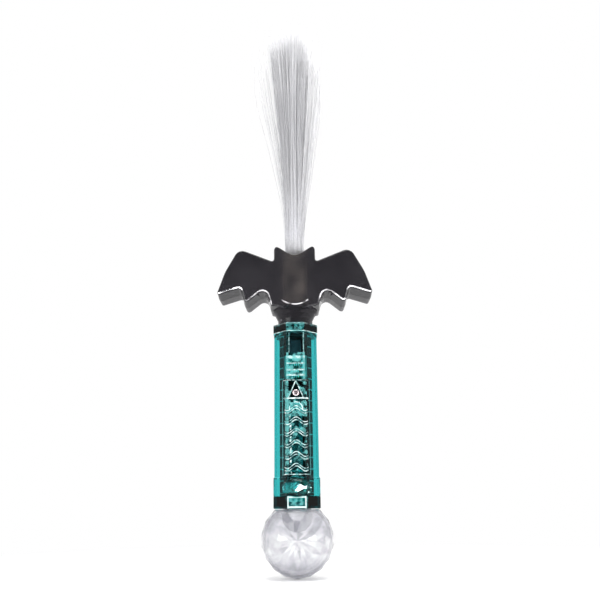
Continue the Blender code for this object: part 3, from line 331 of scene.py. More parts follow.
def paint_highlights(made, edge, zones, milky):
    """Paint clear teal's turned edges pale, as painted highlights; tint its zones and cloud its
    milky places.
    """
    tree, shader = parts_of(made)
    tone = TEAL_COLOUR
    for share, tint in zones:
        tone = mixed(tree, share, tone, tint)
    tone = mixed(tree, milky, tone, MILKY_TEAL)
    tone = mixed(tree, edge, tone, EDGE_HIGHLIGHT)
    tree.links.new(tone, shader.inputs["Base Color"])
    clear = ranged(tree, any_of(tree, edge, milky), 1.0, PALE_CLEAR, 0.0, 1.0)
    tree.links.new(clear, shader.inputs["Transmission Weight"])
    return made


DIAGONAL = 0.70711
SKIN_FROM = 0.0136


def outer_skin(tree, x, y):
    """1 on the outer side of the octagonal wall, facing forward."""
    forward = scaled(tree, y, -1.0)
    across = magnitude(tree, x)
    slanting = scaled(tree, math_node(tree, "ADD", across, forward), DIAGONAL)
    return beyond(tree, any_of(tree, forward, slanting), SKIN_FROM)


RIDGE_COUNT = 6
RIDGE_LOW = FOOT + 0.0260
RIDGE_PITCH = 0.0071
RIDGE_SWING = 0.0015
RIDGE_WAVE = 0.0112
RIDGE_REACH = 0.0073
ROW_MARGIN = 0.0025
# Distances from a ridge's middle: its painted highlight along the edge, then the painted shadow
# beside it.
RIDGE_EDGE = 0.00085
HIGHLIGHT_LINE = (RIDGE_EDGE - 0.0003, RIDGE_EDGE + 0.0003)
SHADOW_LINE = (RIDGE_EDGE + 0.0003, RIDGE_EDGE + 0.0012)


def ridge_rows(tree, x, z):
    """Distance to the middle of the nearest wavy ridge, and 1 on the ridged rows."""
    turn = 2 * math.pi / RIDGE_WAVE
    drop = chain(tree, x, ("MULTIPLY", turn), ("COSINE", 0), ("MULTIPLY", -RIDGE_SWING))
    level = chain(tree, math_node(tree, "ADD", z, drop), ("ADD", RIDGE_SWING))
    off = from_nearest(tree, level, RIDGE_LOW, RIDGE_PITCH)
    highest = RIDGE_LOW + (RIDGE_COUNT - 1) * RIDGE_PITCH
    return off, within(tree, level, RIDGE_LOW - ROW_MARGIN, highest + ROW_MARGIN)


RECESS_APEX = FOOT + 0.0784
RECESS_BASE = FOOT + 0.0675
RECESS_LEAN = 0.43
LEG_LINE = (-0.0002, 0.0004)
DOOR_BARS = (
    (RECESS_BASE - 0.0007, RECESS_BASE + 0.0002),
    (RECESS_APEX + 0.0003, RECESS_APEX + 0.0012),
    above_foot(0.0200, 0.0205),
)


def recess_lines(tree, across, z):
    """The screw recess's two legs, the bars at its ends, and the bar at the door's foot."""
    leg = chain(tree, z, ("SUBTRACT", RECESS_APEX), ("MULTIPLY", RECESS_LEAN))
    leg = within(tree, math_node(tree, "ADD", leg, across), *LEG_LINE)
    legs = all_of(tree, leg, within(tree, z, RECESS_BASE, RECESS_APEX))
    return any_of(tree, legs, *(within(tree, z, *bar) for bar in DOOR_BARS))


DOME_CENTRE = FOOT + 0.0606
DOME_LOW = FOOT + 0.0600
DOME_LINE = (0.0039, 0.0045)


def dome_line(tree, x, z):
    """An arc over the top of the cell behind the door."""
    rise = math_node(tree, "SUBTRACT", z, DOME_CENTRE)
    square = math_node(tree, "ADD", all_of(tree, x, x), all_of(tree, rise, rise))
    arc = within(tree, math_node(tree, "SQRT", square), *DOME_LINE)
    return all_of(tree, arc, beyond(tree, z, DOME_LOW))


# A broken column of painted highlight: a lamp's reflection on the cell behind.
HIGHLIGHT_SIDES = (-0.0041, -0.0031)
HIGHLIGHT_SPAN = above_foot(0.0200, 0.0560)
HIGHLIGHT_OFF_RIDGE = 0.0020
HIGHLIGHT_NOISE = 520.0
# Pale patches down the left: a painted reflection of the cells behind.
REFLECTION_SIDES = (-0.0070, -0.0047)
REFLECTION_PATCHES = (340.0, 0.30, 0.50)
TOP_SPAN = above_foot(0.0560, 0.0650)
TOP_PATCHES = (420.0, 0.40, 0.52)
DOOR_PATCHES = (300.0, 0.50, 0.62)
MURKY_PATCHES = (380.0, 0.54, 0.60)
MILKY_REACH = 0.0070
DOOR_MILK = 0.52


def door_look():
    """The clear door: its ridges, recess and ends are edged in painted highlights, with a
    painted shadow beside each ridge.

    Milky patches stand for what can't be made out behind it, and those down the left are a
    painted reflection of the cells. A broken pale column is a painted highlight on a cell behind
    it.
    """
    made = clear_plastic("ridged_teal", TEAL_COLOUR, ior=TEAL_INDEX)
    tree = made.node_tree
    x, y, z = place_of(tree)
    across = magnitude(tree, x)
    skin = outer_skin(tree, x, y)
    off, rows = ridge_rows(tree, x, z)
    narrow = below(tree, across, RIDGE_REACH)
    ridge_highlights = all_of(tree, within(tree, off, *HIGHLIGHT_LINE), rows, narrow)
    ridge_shadow = all_of(tree, within(tree, off, *SHADOW_LINE), rows, narrow)
    # Painted highlights along the ridges' edges, round the recess and at the door's ends, and an
    # arc over the cell.
    drawn = any_of(tree, ridge_highlights, recess_lines(tree, across, z), dome_line(tree, x, z))
    # A broken column of painted highlight on the cell behind.
    column = all_of(
        tree,
        within(tree, x, *HIGHLIGHT_SIDES),
        beyond(tree, off, HIGHLIGHT_OFF_RIDGE),
        within(tree, z, *HIGHLIGHT_SPAN),
    )
    drawn = uneven(tree, drawn, LINE_NOISE)
    edge = all_of(tree, any_of(tree, drawn, uneven(tree, column, HIGHLIGHT_NOISE, 0.0)), skin)
    milky = any_of(
        tree,
        all_of(tree, within(tree, x, *REFLECTION_SIDES), patches(tree, *REFLECTION_PATCHES)),
        all_of(tree, within(tree, z, *TOP_SPAN), patches(tree, *TOP_PATCHES)),
        patches(tree, *DOOR_PATCHES),
    )
    milky = all_of(tree, milky, below(tree, across, MILKY_REACH))
    milky = all_of(tree, scaled(tree, milky, DOOR_MILK), skin)
    # Murky patches, and the painted shadow beside each ridge.
    murk_and_shadow = all_of(tree, any_of(tree, ridge_shadow, patches(tree, *MURKY_PATCHES)), skin)
    return paint_highlights(made, edge, [(murk_and_shadow, DEEP_TEAL)], milky)


HANDLE_FRONT = -0.0138
BAND_SPAN = above_foot(0.0001, 0.0074)
WINDOW_SIDES = (0.0051, 0.0058)
WINDOW_BARS = (above_foot(0.0004, 0.0014), above_foot(0.0064, 0.0072))
HOLDER_SPAN = above_foot(0.0970, 0.1105)
HOLDER_SIDES = (-0.0038, 0.0049)
HOLDER_TINT = (0.42, 0.50, 0.56)
RIBS = ((-0.0045, -0.0038), (0.0049, 0.0056))
RIB_SHARE = 0.5
# Height above the foot and half thickness of each rung.
RUNGS = ((0.0939, 0.0009), (0.0899, 0.0005), (0.0856, 0.0005), (0.0822, 0.0006))
RUNG_SIDES = (-0.0070, 0.0062)
RUNG_SHARE = 0.75
BOARD_SPAN = above_foot(0.0795, 0.0970)
BOARD_PATCHES = (330.0, 0.44, 0.60)
STILE_SIDES = (0.0046, 0.0068)
BAND_PATCHES = (500.0, 0.42, 0.60)
HANDLE_MILK = 0.45


def handle_look():
    """The clear housing: painted shade on its corner facets, and painted highlights round the
    window frame on its foot band.

    Pale rungs and patches stand over the board, and ribs and a tint over the lamp holder.
    """
    made = clear_plastic("banded_teal", TEAL_COLOUR, ior=TEAL_INDEX)
    tree = made.node_tree
    x, y, z = place_of(tree)
    turned = magnitude(tree, place_of(tree, "Normal")[0])
    across = magnitude(tree, x)
    front = below(tree, y, HANDLE_FRONT)
    band = within(tree, z, *BAND_SPAN)
    # Painted shade on the foot band's slanting corner facets.
    corner = all_of(tree, band, within(tree, turned, *SLANTING))
    # Painted highlights round the frame of the foot band's front window.
    window = any_of(
        tree,
        within(tree, across, *WINDOW_SIDES),
        *(within(tree, z, *bar) for bar in WINDOW_BARS),
    )
    window = all_of(tree, window, below(tree, across, WINDOW_SIDES[1]), band, front)
    holder = within(tree, z, *HOLDER_SPAN)
    ribs = any_of(tree, *(within(tree, x, *sides) for sides in RIBS))
    ribs = scaled(tree, all_of(tree, ribs, holder), RIB_SHARE)
    spans = (above_foot(height - half, height + half) for height, half in RUNGS)
    rungs = any_of(tree, *(within(tree, z, *span) for span in spans))
    rungs = scaled(tree, all_of(tree, rungs, within(tree, x, *RUNG_SIDES)), RUNG_SHARE)
    inner = uneven(tree, any_of(tree, ribs, rungs), LINE_NOISE)
    board = within(tree, z, *BOARD_SPAN)
    cloudy = any_of(
        tree,
        all_of(tree, board, patches(tree, *BOARD_PATCHES)),
        all_of(tree, board, within(tree, across, *STILE_SIDES)),
        all_of(tree, band, patches(tree, *BAND_PATCHES)),
    )
    cloudy = all_of(tree, scaled(tree, cloudy, HANDLE_MILK), front)
    dim = all_of(tree, holder, within(tree, x, *HOLDER_SIDES), front)
    lines = all_of(tree, any_of(tree, window, inner), front)
    return paint_highlights(made, lines, [(corner, CORNER_SHADE), (dim, HOLDER_TINT)], cloudy)


FORWARD = 0.3
# Widths of the painted highlights along the lower and upper lips.
LOWER_LIP = 0.0005
UPPER_LIP = 0.0010
UPPER_SHARE = 0.45
LIP_NOISE = 300.0
COLLAR_PATCHES = (420.0, 0.44, 0.62)
COLLAR_MILK = 0.34


def collar_look():
    """The clear collar: painted shade on the corner facets over the neck, milky front, painted
    highlights along the lips.
    """
    made = clear_plastic("collar_teal", TEAL_COLOUR, ior=TEAL_INDEX)
    tree = made.node_tree
    z = place_of(tree)[2]
    turned = magnitude(tree, place_of(tree, "Normal")[0])
    low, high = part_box("top_collar")
    # Painted highlights along the collar's lower and upper lips.
    lower = uneven(tree, within(tree, z, low[2], low[2] + LOWER_LIP), LIP_NOISE, 0.4)
    upper = uneven(tree, within(tree, z, high[2] - UPPER_LIP, high[2]), LIP_NOISE, 0.5)
    lips = any_of(tree, lower, scaled(tree, upper, UPPER_SHARE))
    cloudy = patches(tree, *COLLAR_PATCHES, COLLAR_MILK)
    cloudy = all_of(tree, below(tree, turned, FORWARD), cloudy)
    # Painted shade on the slanting corner facets over the neck.
    corner = within(tree, turned, *SLANTING)
    return paint_highlights(made, lips, [(corner, CORNER_SHADE)], cloudy)


BUTTON_TEAL = (0.06, 0.50, 0.50)
# Painted shade over the button's left side.
BUTTON_SHADE = (0.01, 0.11, 0.12)
BUTTON_ROUGH = (0.04, 0.09)
BUTTON_INDEX = 1.3
SHADE_FADE = (-0.0030, -0.0005)
SHADE_PATCHES = (330.0, 0.30, 0.55)


def button_look():
    """Clear teal button with painted shade, in patches, over its left side."""
    made = clear_plastic("teal_button", BUTTON_TEAL, rough=BUTTON_ROUGH, ior=BUTTON_INDEX)
    tree, shader = parts_of(made)
    x = place_of(tree)[0]
    left_shade = all_of(tree, faded_out(tree, x, *SHADE_FADE), patches(tree, *SHADE_PATCHES))
    tree.links.new(mixed(tree, left_shade, BUTTON_TEAL, BUTTON_SHADE), shader.inputs["Base Color"])
    return made


# Inside the handle

WEB_LOW = FOOT + 0.0236
WEB_PITCH = 0.0071
TICK_HALF = 0.00035
TICK_COLOUR = (0.26, 0.36, 0.36)
RAIL_FROM = 0.0074


def chassis_look():
    """Black rails with a paler tick at each web, on the front half."""
    colour = (0.012, 0.014, 0.016)
    made = solid_plastic("chassis_black", colour, rough=(0.3, 0.45), shine=0.25)
    tree = made.node_tree
    x, y, z = place_of(tree)
    tick = all_of(
        tree,
        below(tree, from_nearest(tree, z, WEB_LOW, WEB_PITCH), TICK_HALF),
        beyond(tree, magnitude(tree, x), RAIL_FROM),
        below(tree, y, 0.0),
    )
    return painted(made, tick, TICK_COLOUR)


INSERT_REACH = 0.0053
INSERT_FRONT = -0.006
INSERT_COLOUR = (0.22, 0.50, 0.47)


def plug_look():
    """A black plug with a pale insert in its front window."""
    made = solid_plastic("plug_black", (0.010, 0.010, 0.012), rough=(0.35, 0.5), shine=0.2)
    tree = made.node_tree
    x, y, _ = place_of(tree)
    reach = below(tree, magnitude(tree, x), INSERT_REACH)
    return painted(made, all_of(tree, reach, below(tree, y, INSERT_FRONT)), INSERT_COLOUR)


COPPER_SIDES = 0.0046
COPPER_TOP = 0.0022
PAD_FIRST = 0.0040
PAD_PITCH = 0.0039
PAD_HALF = 0.0008
PAD_FROM = 0.0037


def circuit_look():
    """A board with broad pale copper down its sides and across its top."""
    made, tree, shader = new_material("circuit_board")
    x, _, z = place_of(tree)
    across = magnitude(tree, x)
    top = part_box("circuit_board")[1][2]
    pads = below(tree, from_nearest(tree, z, top - PAD_FIRST, PAD_PITCH), PAD_HALF)
    copper = any_of(
        tree,
        beyond(tree, across, COPPER_SIDES),
        beyond(tree, z, top - COPPER_TOP),
        all_of(tree, pads, beyond(tree, across, PAD_FROM)),
    )
    dark_mask, light_mask = (0.03, 0.10, 0.08), (0.08, 0.22, 0.18)
    dark_pale, light_pale = (0.62, 0.78, 0.74), (0.86, 0.95, 0.92)
    mask = ramp(tree, noise(tree, 400.0), [(0.35, dark_mask), (0.65, light_mask)])
    pale = ramp(tree, noise(tree, 500.0), [(0.35, dark_pale), (0.65, light_pale)])
    tree.links.new(mixed(tree, copper, mask, pale), shader.inputs["Base Color"])
    gloss = ranged(tree, noise(tree, 300.0), 0.25, 0.4)
    tree.links.new(gloss, shader.inputs["Roughness"])
    return made


RESISTOR_HALF = 0.0062


def resistor_look():
    """Pale lacquered body with colour bands; the leads beyond it are tinned."""
    made, tree, shader = new_material("resistor_bands")
    place = faded_in(tree, place_of(tree)[0], -RESISTOR_HALF, RESISTOR_HALF)
    tin, body = (0.78, 0.78, 0.80), (0.86, 0.87, 0.82)
    bands = [
        (0.0, tin),
        (0.285, body),
        (0.36, (0.30, 0.10, 0.06)),
        (0.40, body),
        (0.46, (0.02, 0.02, 0.02)),
        (0.50, body),
        (0.57, (0.55, 0.12, 0.05)),
        (0.61, body),
        (0.67, (0.55, 0.42, 0.12)),
        (0.715, tin),
    ]
    tone = ramp(tree, place, bands)
    tone.node.color_ramp.interpolation = "CONSTANT"
    tree.links.new(tone, shader.inputs["Base Color"])
    shader.inputs["Roughness"].default_value = 0.3
    add_bump(tree, shader, noise(tree, 900.0), 0.2, FINE_GRAIN)
    return made


def cell_jacket():
    """A cell's metal jacket with plain dark bands and no print."""
    made, tree, shader = new_material("cell_jacket")
    low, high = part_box("cell_front")
    place = faded_in(tree, place_of(tree)[2], low[2], high[2])
    steel, dark, band = (0.80, 0.81, 0.83), (0.30, 0.32, 0.34), (0.06, 0.10, 0.11)
    stops = [(0.0, steel), (0.02, dark), (0.22, band), (0.25, dark), (0.80, band), (0.84, steel)]
    tone = ramp(tree, place, stops)
    tone.node.color_ramp.interpolation = "CONSTANT"
    tree.links.new(tone, shader.inputs["Base Color"])
    gloss = ranged(tree, noise(tree, 200.0), 0.10, 0.2)
    tree.links.new(gloss, shader.inputs["Roughness"])
    shader.inputs["Metallic"].default_value = 0.9
    return made


# Fibres, head and ball

WHITE = (1.0, 1.0, 1.0)
FIBRE_SPAN = above_foot(0.16, 0.36)
FAN_LEAN = 0.011
LOOSE_RIGHT = (0.001, 0.006)
LOOSE_LEFT = (-0.036, -0.028)


def fibre_look():
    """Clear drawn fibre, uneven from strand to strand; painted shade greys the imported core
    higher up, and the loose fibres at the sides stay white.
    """
    made, tree, shader = new_material("drawn_fibre")
    strands = [(0.3, (0.84, 0.84, 0.86)), (0.5, (0.93, 0.93, 0.95)), (0.7, WHITE)]
    tone = ramp(tree, noise(tree, 900.0, 2.0), strands)
    x, _, z = place_of(tree)
    height = faded_in(tree, z, *FIBRE_SPAN)
    # Painted shade: grey where the fibres pack, lighter at the foot and the top.
    shade_by_height = [
        (0.0, WHITE),
        (0.12, (0.98, 0.98, 1.0)),
        (0.34, (0.79, 0.79, 0.80)),
        (0.62, (0.80, 0.80, 0.81)),
        (0.95, (0.95, 0.95, 0.95)),
    ]
    fanned = math_node(tree, "SUBTRACT", x, scaled(tree, height, FAN_LEAN))
    right = faded_in(tree, fanned, *LOOSE_RIGHT)
    left = faded_out(tree, fanned, *LOOSE_LEFT)
    packed_shade = mixed(tree, any_of(tree, right, left), ramp(tree, height, shade_by_height), WHITE)
    tree.links.new(shaded(tree, tone, packed_shade), shader.inputs["Base Color"])
    shader.inputs["Roughness"].default_value = 0.25
    shader.inputs["Transmission Weight"].default_value = 0.2
    shader.inputs["IOR"].default_value = 1.2
    return made


SMOKE_INDEX = 1.24
SMOKE_CLEAR = 0.86
# How clear, and how grey, the painted highlights on the head are.
HIGHLIGHT_CLEAR = 0.1
HIGHLIGHT_GREY = (0.60, 0.59, 0.61)
# A warmer, lighter grey: painted sheen down the rounded middle of the body.
WARM_SHEEN = (0.24, 0.215, 0.205)
SHEEN_FADE = (0.0050, 0.0100)
SHEEN_PATCHES = (60.0, 0.35, 0.70)
HEAD_FRONT = -0.0125
BELLY_LOW = FOOT + 0.1290
BELLY_BOWL = -45.0
LIP_HALF = 0.0003
LIP_REACH = 0.0088
# The bevel under the wings, where the painted highlights run: parts of its normal, and how far
# out it starts.
UNDER_FORWARD = (-0.97, -0.85)
UNDER_DOWN = -0.10
UNDER_FROM = 0.0155


def smoke_look():
    """Smoked black plastic, near solid, with a warmer grey down the middle, made lighter there
    as painted sheen on the rounded body.

    A painted highlight marks the belly's lip, and broken painted highlights the lower edges of
    the wings.
    """
    made = clear_plastic("smoked_black", (0.09, 0.086, 0.096), (0.03, 0.08), SMOKE_INDEX)
    tree, shader = parts_of(made)
    x, y, z = place_of(tree)
    across = magnitude(tree, x)
    level = math_node(tree, "ADD", z, scaled(tree, all_of(tree, x, x), BELLY_BOWL))
    # Painted highlight along the belly's lip.
    lip = all_of(
        tree,
        within(tree, level, BELLY_LOW - LIP_HALF, BELLY_LOW + LIP_HALF),
        below(tree, y, HEAD_FRONT),
        below(tree, across, LIP_REACH),
    )
    _, forward, upward = place_of(tree, "Normal")
    # Painted highlights on the bevel under the wings.
    wing_highlight = all_of(
        tree,
        within(tree, forward, *UNDER_FORWARD),
        below(tree, upward, UNDER_DOWN),
        beyond(tree, across, UNDER_FROM),
    )
    line = uneven(tree, any_of(tree, lip, wing_highlight), 200.0, 0.25)
    # Painted sheen down the middle, above the belly's lip.
    warm_sheen = all_of(
        tree,
        faded_out(tree, across, *SHEEN_FADE),
        patches(tree, *SHEEN_PATCHES),
        beyond(tree, z, BELLY_LOW),
    )
    dark, light = (0.062, 0.059, 0.068), (0.088, 0.084, 0.094)
    tone = ramp(tree, noise(tree, 45.0, 2.0), [(0.35, dark), (0.65, light)])
    tone = mixed(tree, warm_sheen, tone, WARM_SHEEN)
    tree.links.new(mixed(tree, line, tone, HIGHLIGHT_GREY), shader.inputs["Base Color"])
    clear = ranged(tree, line, SMOKE_CLEAR, HIGHLIGHT_CLEAR, 0.0, 1.0)
    tree.links.new(clear, shader.inputs["Transmission Weight"])
    return made


BALL_INDEX = 1.09
BALL_SPAN = above_foot(-0.042, -0.006)
FACET_STEP = (0.02, 0.02, 0.02)


def facet_look():
    """Clear plastic cut in facets, with painted reflections: each facet gets its own share of
    grey, and painted shade greys some heights more.
    """
    colour = (0.95, 0.95, 0.965)
    made = clear_plastic("cut_clear", colour, (0.03, 0.07), BALL_INDEX, wave=0.00001)
    tree, shader = parts_of(made)
    chance = node(tree, "ShaderNodeTexWhiteNoise")
    facet = node(tree, "ShaderNodeNewGeometry").outputs["True Normal"]
    snapped = node(tree, "ShaderNodeVectorMath", operation="SNAP")
    snapped.inputs[1].default_value = FACET_STEP
    tree.links.new(facet, snapped.inputs[0])
    tree.links.new(snapped.outputs["Vector"], chance.inputs["Vector"])
    # Painted reflections: a grey for each facet.
    facet_reflections = [(0.0, (0.64, 0.64, 0.67)), (0.45, (0.84, 0.84, 0.86)), (0.8, (0.97, 0.97, 0.98))]
    shade_by_height = [
        (0.0, (0.90, 0.90, 0.92)),
        (0.22, (0.82, 0.82, 0.84)),
        (0.45, WHITE),
        (0.66, (0.99, 0.99, 0.99)),
        (0.84, (0.86, 0.86, 0.88)),
    ]
    tone = ramp(tree, chance.outputs["Value"], facet_reflections)
    # Painted shade, darker low down and near the top.
    height_shade = ramp(tree, faded_in(tree, place_of(tree)[2], *BALL_SPAN), shade_by_height)
    tree.links.new(shaded(tree, tone, height_shade), shader.inputs["Base Color"])
    shader.inputs["Transmission Weight"].default_value = 0.8
    shader.inputs["Coat Weight"].default_value = 0.5
    return made


# Materials on the nodes

TEAL = handle_look()
DOOR = door_look()
COLLAR = collar_look()
TEAL_BUTTON = button_look()
SMOKE = smoke_look()
CLEAR = facet_look()
FROST = clear_plastic("frosted", (0.50, 0.51, 0.56), rough=(0.35, 0.5), ior=1.2, wave=0.00003)
LAMP = clear_plastic("lamp_resin", (0.92, 0.93, 0.95))
CHASSIS = chassis_look()
PLUG = plug_look()
BLACK = solid_plastic("plain_black", (0.010, 0.010, 0.012), rough=(0.35, 0.5), shine=0.2)
HOLDER = solid_plastic("holder_black", (0.13, 0.075, 0.09))
SWITCH = solid_plastic("switch_black", (0.02, 0.022, 0.024), rough=(0.35, 0.5))
RED = solid_plastic("wire_red", (0.50, 0.04, 0.035), rough=(0.35, 0.45))
SCREW = metal("screw_steel", (0.72, 0.62, 0.64), brushed=0.3)
SPRING = metal("contact_steel", (0.80, 0.81, 0.83))
BOARD = circuit_look()
RESISTOR = resistor_look()
CELL = cell_jacket()
FIBRE = fibre_look()

LOOKS = {
    "handle_front": TEAL,
    "handle_rear": TEAL,
    "top_collar": COLLAR,
    "battery_door": DOOR,
    "push_button": TEAL_BUTTON,
    "door_screw": SCREW,
    "rear_screw_upper": SCREW,
    "rear_screw_lower": SCREW,
    "switch_plunger": SWITCH,
    "tact_switch": SWITCH,
    "switch_board": BOARD,
    "circuit_board": BOARD,
    "resistor_1": RESISTOR,
    "resistor_2": RESISTOR,
    "resistor_3": RESISTOR,
    "resistor_4": RESISTOR,
    "chassis": CHASSIS,
    "cell_front": CELL,
    "cell_rear": CELL,
    "spring_front": SPRING,
    "spring_rear": SPRING,
    "negative_contact": SPRING,
    "positive_contact": SPRING,
    "bridge_contact": SPRING,
    "controller_chip": BLACK,
    "led_holder": HOLDER,
    "fibre_led": LAMP,
    "ball_led": LAMP,
    "wire_red": RED,
    "wire_black": BLACK,
    "head_front": SMOKE,
    "head_rear": SMOKE,
    "fibre_tube": BLACK,
    "ball_front": CLEAR,
    "ball_rear": CLEAR,
    "ball_diffuser": FROST,
    "bottom_plug": PLUG,
}
for name, look in LOOKS.items():
    if not nodes[name].material_slots:
        nodes[name].data.materials.append(look)
    for place in nodes[name].material_slots:
        place.material = look

# Edges

SHARP = 35
HEAD_EDGE = 0.0005
TEAL_EDGE = 0.00015


def soften(name, width):
    """Round a node's sharp edges so that they catch the light."""
    made = nodes[name].modifiers.new("soft_edges", "BEVEL")
    made.width = width
    made.segments = 2
    made.limit_method = "ANGLE"
    made.angle_limit = math.radians(SHARP)
    made.use_clamp_overlap = True


for name in ("head_front", "head_rear"):
    soften(name, HEAD_EDGE)
for name in ("battery_door", "top_collar", "push_button"):
    soften(name, TEAL_EDGE)

# Fibres: a packed bundle in the tube, from which single fibres fan out

BUNDLE = 0.0064
BUNDLE_SIDES = 28
# How far below the tube's mouth the bundle ends, and the single fibres start.
BUNDLE_TOP = 0.0028
PATH_START = 0.003
FIBRE_COUNT = 1250
FIBRE_RADIUS = 0.00012
FIBRE_SIDES = 3
THIRD_TURN = 2.0944
GOLDEN_ANGLE = 2.399963
PATH_STEPS = 11
LEAST_FREE = 0.03
BOX_MARGIN = 0.0006
# Fibres that stand taller and thicker than the rest, by number.
TALL = (72, 216)
TALL_THICKER = 1.8

# Loose fibres at the sides: from how far out in the bundle, and how often.
RIGHT_FROM, RIGHT_CHANCE = 0.25, 0.37
LEFT_FROM, LEFT_CHANCE = -0.55, 0.10

# Heights above the wand's foot, and how far the tuft reaches there to each side and in depth.
HEIGHTS = (0.160, 0.181, 0.213, 0.253, 0.297, 0.332, 0.350, 0.365)
CORE_LEFT = (0.0064, 0.0067, 0.0076, 0.0104, 0.0145, 0.0190, 0.0220, 0.0240)
CORE_RIGHT = (0.0064, 0.0067, 0.0072, 0.0078, 0.0098, 0.0130, 0.0150, 0.0165)
FAR_RIGHT = (0.0066, 0.0072, 0.0105, 0.0165, 0.0230, 0.0250, 0.0250, 0.0250)
FAR_LEFT = (0.0066, 0.0070, 0.0100, 0.0180, 0.0280, 0.0340, 0.0340, 0.0340)
DEPTH = (0.0064, 0.0078, 0.0108, 0.0150, 0.0205, 0.0245, 0.0260, 0.0265)
# A fibre's least share of that reach, and what chance adds.
LEAST_SHARE, MORE_SHARE = 0.80, 0.28

FAN_HEIGHT = 0.144
FAN_RATE = 3.0
SWAY = 0.0005
SWAY_TURN = 5.0

# How far the ends lie below the longest fibre's, least and added by chance.
TOP_GAP = 0.010
TOP_SPREAD = 0.0055
SIDE_GAPS = {"right": (0.003, 0.016), "left": (0.004, 0.012)}
CUT_CHANCE = 0.12
CUT_MOST = 0.07


def fibre_kind(u, chance):
    """The part of the tuft that a fibre belongs to, by its place across the bundle."""
    if u > RIGHT_FROM and chance < RIGHT_CHANCE:
        return "right"
    if u < LEFT_FROM and chance < LEFT_CHANCE:
        return "left"
    return "core"


def fibre_reach(kind, u):
    """Widths by height of the part of the tuft that a fibre belongs to."""
    if kind == "core":
        return CORE_RIGHT if u > 0 else CORE_LEFT
    return FAR_RIGHT if kind == "right" else FAR_LEFT


def fibre_path(rng, kind, u, v, top, low, high, tube_top):
    """Points of one fibre: straight in the tube, then leaning out and a little wavy."""
    widths = fibre_reach(kind, u)
    share_out = abs(u) * (LEAST_SHARE + MORE_SHARE * rng.random())
    share_deep = v * (LEAST_SHARE + MORE_SHARE * rng.random())
    sway = rng.normal(0, SWAY, 2)
    phase = rng.random() * 6.28
    points = []
    start = tube_top - PATH_START
    for step in range(PATH_STEPS + 1):
        share = step / PATH_STEPS
        height = start + (top - start) * share
        above = height - FOOT
        grown = max((height - tube_top) / FAN_HEIGHT, 0.0)
        wobble = math.sin(phase + share * SWAY_TURN) * grown
        spread = min(grown * FAN_RATE, 1.0)
        reach = float(np.interp(above, HEIGHTS, widths))
        held = BUNDLE * abs(u) * (1 - spread) + share_out * reach * spread
        x = math.copysign(held, u) + sway[0] * wobble
        deep = float(np.interp(above, HEIGHTS, DEPTH))
        y = BUNDLE * v * (1 - spread) + share_deep * deep * spread + sway[1] * wobble
        x = min(max(x, low[0] + BOX_MARGIN), high[0] - BOX_MARGIN)
        y = min(max(y, low[1] + BOX_MARGIN), high[1] - BOX_MARGIN)
        points.append((x, y, height))
    return points


def fibre_top(rng, kind, longest):
    """Height at which a fibre ends: mostly close together, some cut or broken short."""
    top = longest - TOP_GAP - abs(rng.normal(0, TOP_SPREAD))
    if kind in SIDE_GAPS:
        least, more = SIDE_GAPS[kind]
        top -= least + rng.random() * more
    if rng.random() < CUT_CHANCE:
        top -= rng.random() * CUT_MOST
    return top


def add_fibre(verts, faces, path, turn, thick):
    """A three-sided rod along a path, closed at both ends."""
    start = len(verts)
    for x, y, z in path:
        for side in range(FIBRE_SIDES):
            corner = turn + side * THIRD_TURN
            verts.append((x + thick * math.cos(corner), y + thick * math.sin(corner), z))
    for ring in range(len(path) - 1):
        base = start + ring * FIBRE_SIDES
        for side in range(FIBRE_SIDES):
            a, b = base + side, base + (side + 1) % FIBRE_SIDES
            faces.append((a, b, b + FIBRE_SIDES, a + FIBRE_SIDES))
    last = start + (len(path) - 1) * FIBRE_SIDES
    faces.append((last, last + 1, last + 2))
    faces.append((start + 2, start + 1, start))


def add_bundle(verts, faces, low, high):
    """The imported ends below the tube's mouth, as one closed cylinder."""
    lower = len(verts)
    upper = lower + BUNDLE_SIDES
    for height in (low, high):
        for side in range(BUNDLE_SIDES):
            angle = 2 * math.pi * side / BUNDLE_SIDES
            verts.append((BUNDLE * math.cos(angle), BUNDLE * math.sin(angle), height))
    for side in range(BUNDLE_SIDES):
        following = (side + 1) % BUNDLE_SIDES
        faces.append((lower + side, lower + following, upper + following, upper + side))
    faces.append(tuple(range(upper, upper + BUNDLE_SIDES)))
    faces.append(tuple(range(upper - 1, lower - 1, -1)))


def add_fibres():
    """The light fibres, in place of the solid's coarse strands."""
    rng = np.random.default_rng(7)
    low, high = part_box("fibre_tuft")
    tube_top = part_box("fibre_tube")[1][2]
    longest = high[2] - 0.001
    verts, faces = [], []
    for number in range(FIBRE_COUNT):
        away = math.sqrt((number + 0.5) / FIBRE_COUNT)
        angle = number * GOLDEN_ANGLE
        u = away * math.cos(angle)
        v = away * math.sin(angle)
        kind = fibre_kind(u, rng.random())
        top = fibre_top(rng, kind, longest)
        thicker = 1.0
        if number in TALL:
            top = longest - 0.001
            thicker = TALL_THICKER
        top = max(top, tube_top + LEAST_FREE)
        path = fibre_path(rng, kind, u, v, top, low, high, tube_top)
        turn = rng.random() * 2.1
        thick = FIBRE_RADIUS * (0.8 + 0.5 * rng.random()) * thicker
        add_fibre(verts, faces, path, turn, thick)
    add_bundle(verts, faces, low[2], tube_top - BUNDLE_TOP)
    mesh = bpy.data.meshes.new("light_fibres")
    mesh.from_pydata(verts, [], faces)
    mesh.update()
    mesh.materials.append(FIBRE)
    mesh.shade_smooth()
    made = bpy.data.objects.new("light_fibres", mesh)
    bpy.context.scene.collection.objects.link(made)
    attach(made, "wand")
    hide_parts("fibre_tuft")


add_fibres()

# Floor, background and lamps

SOFT_LIGHT = 0.88
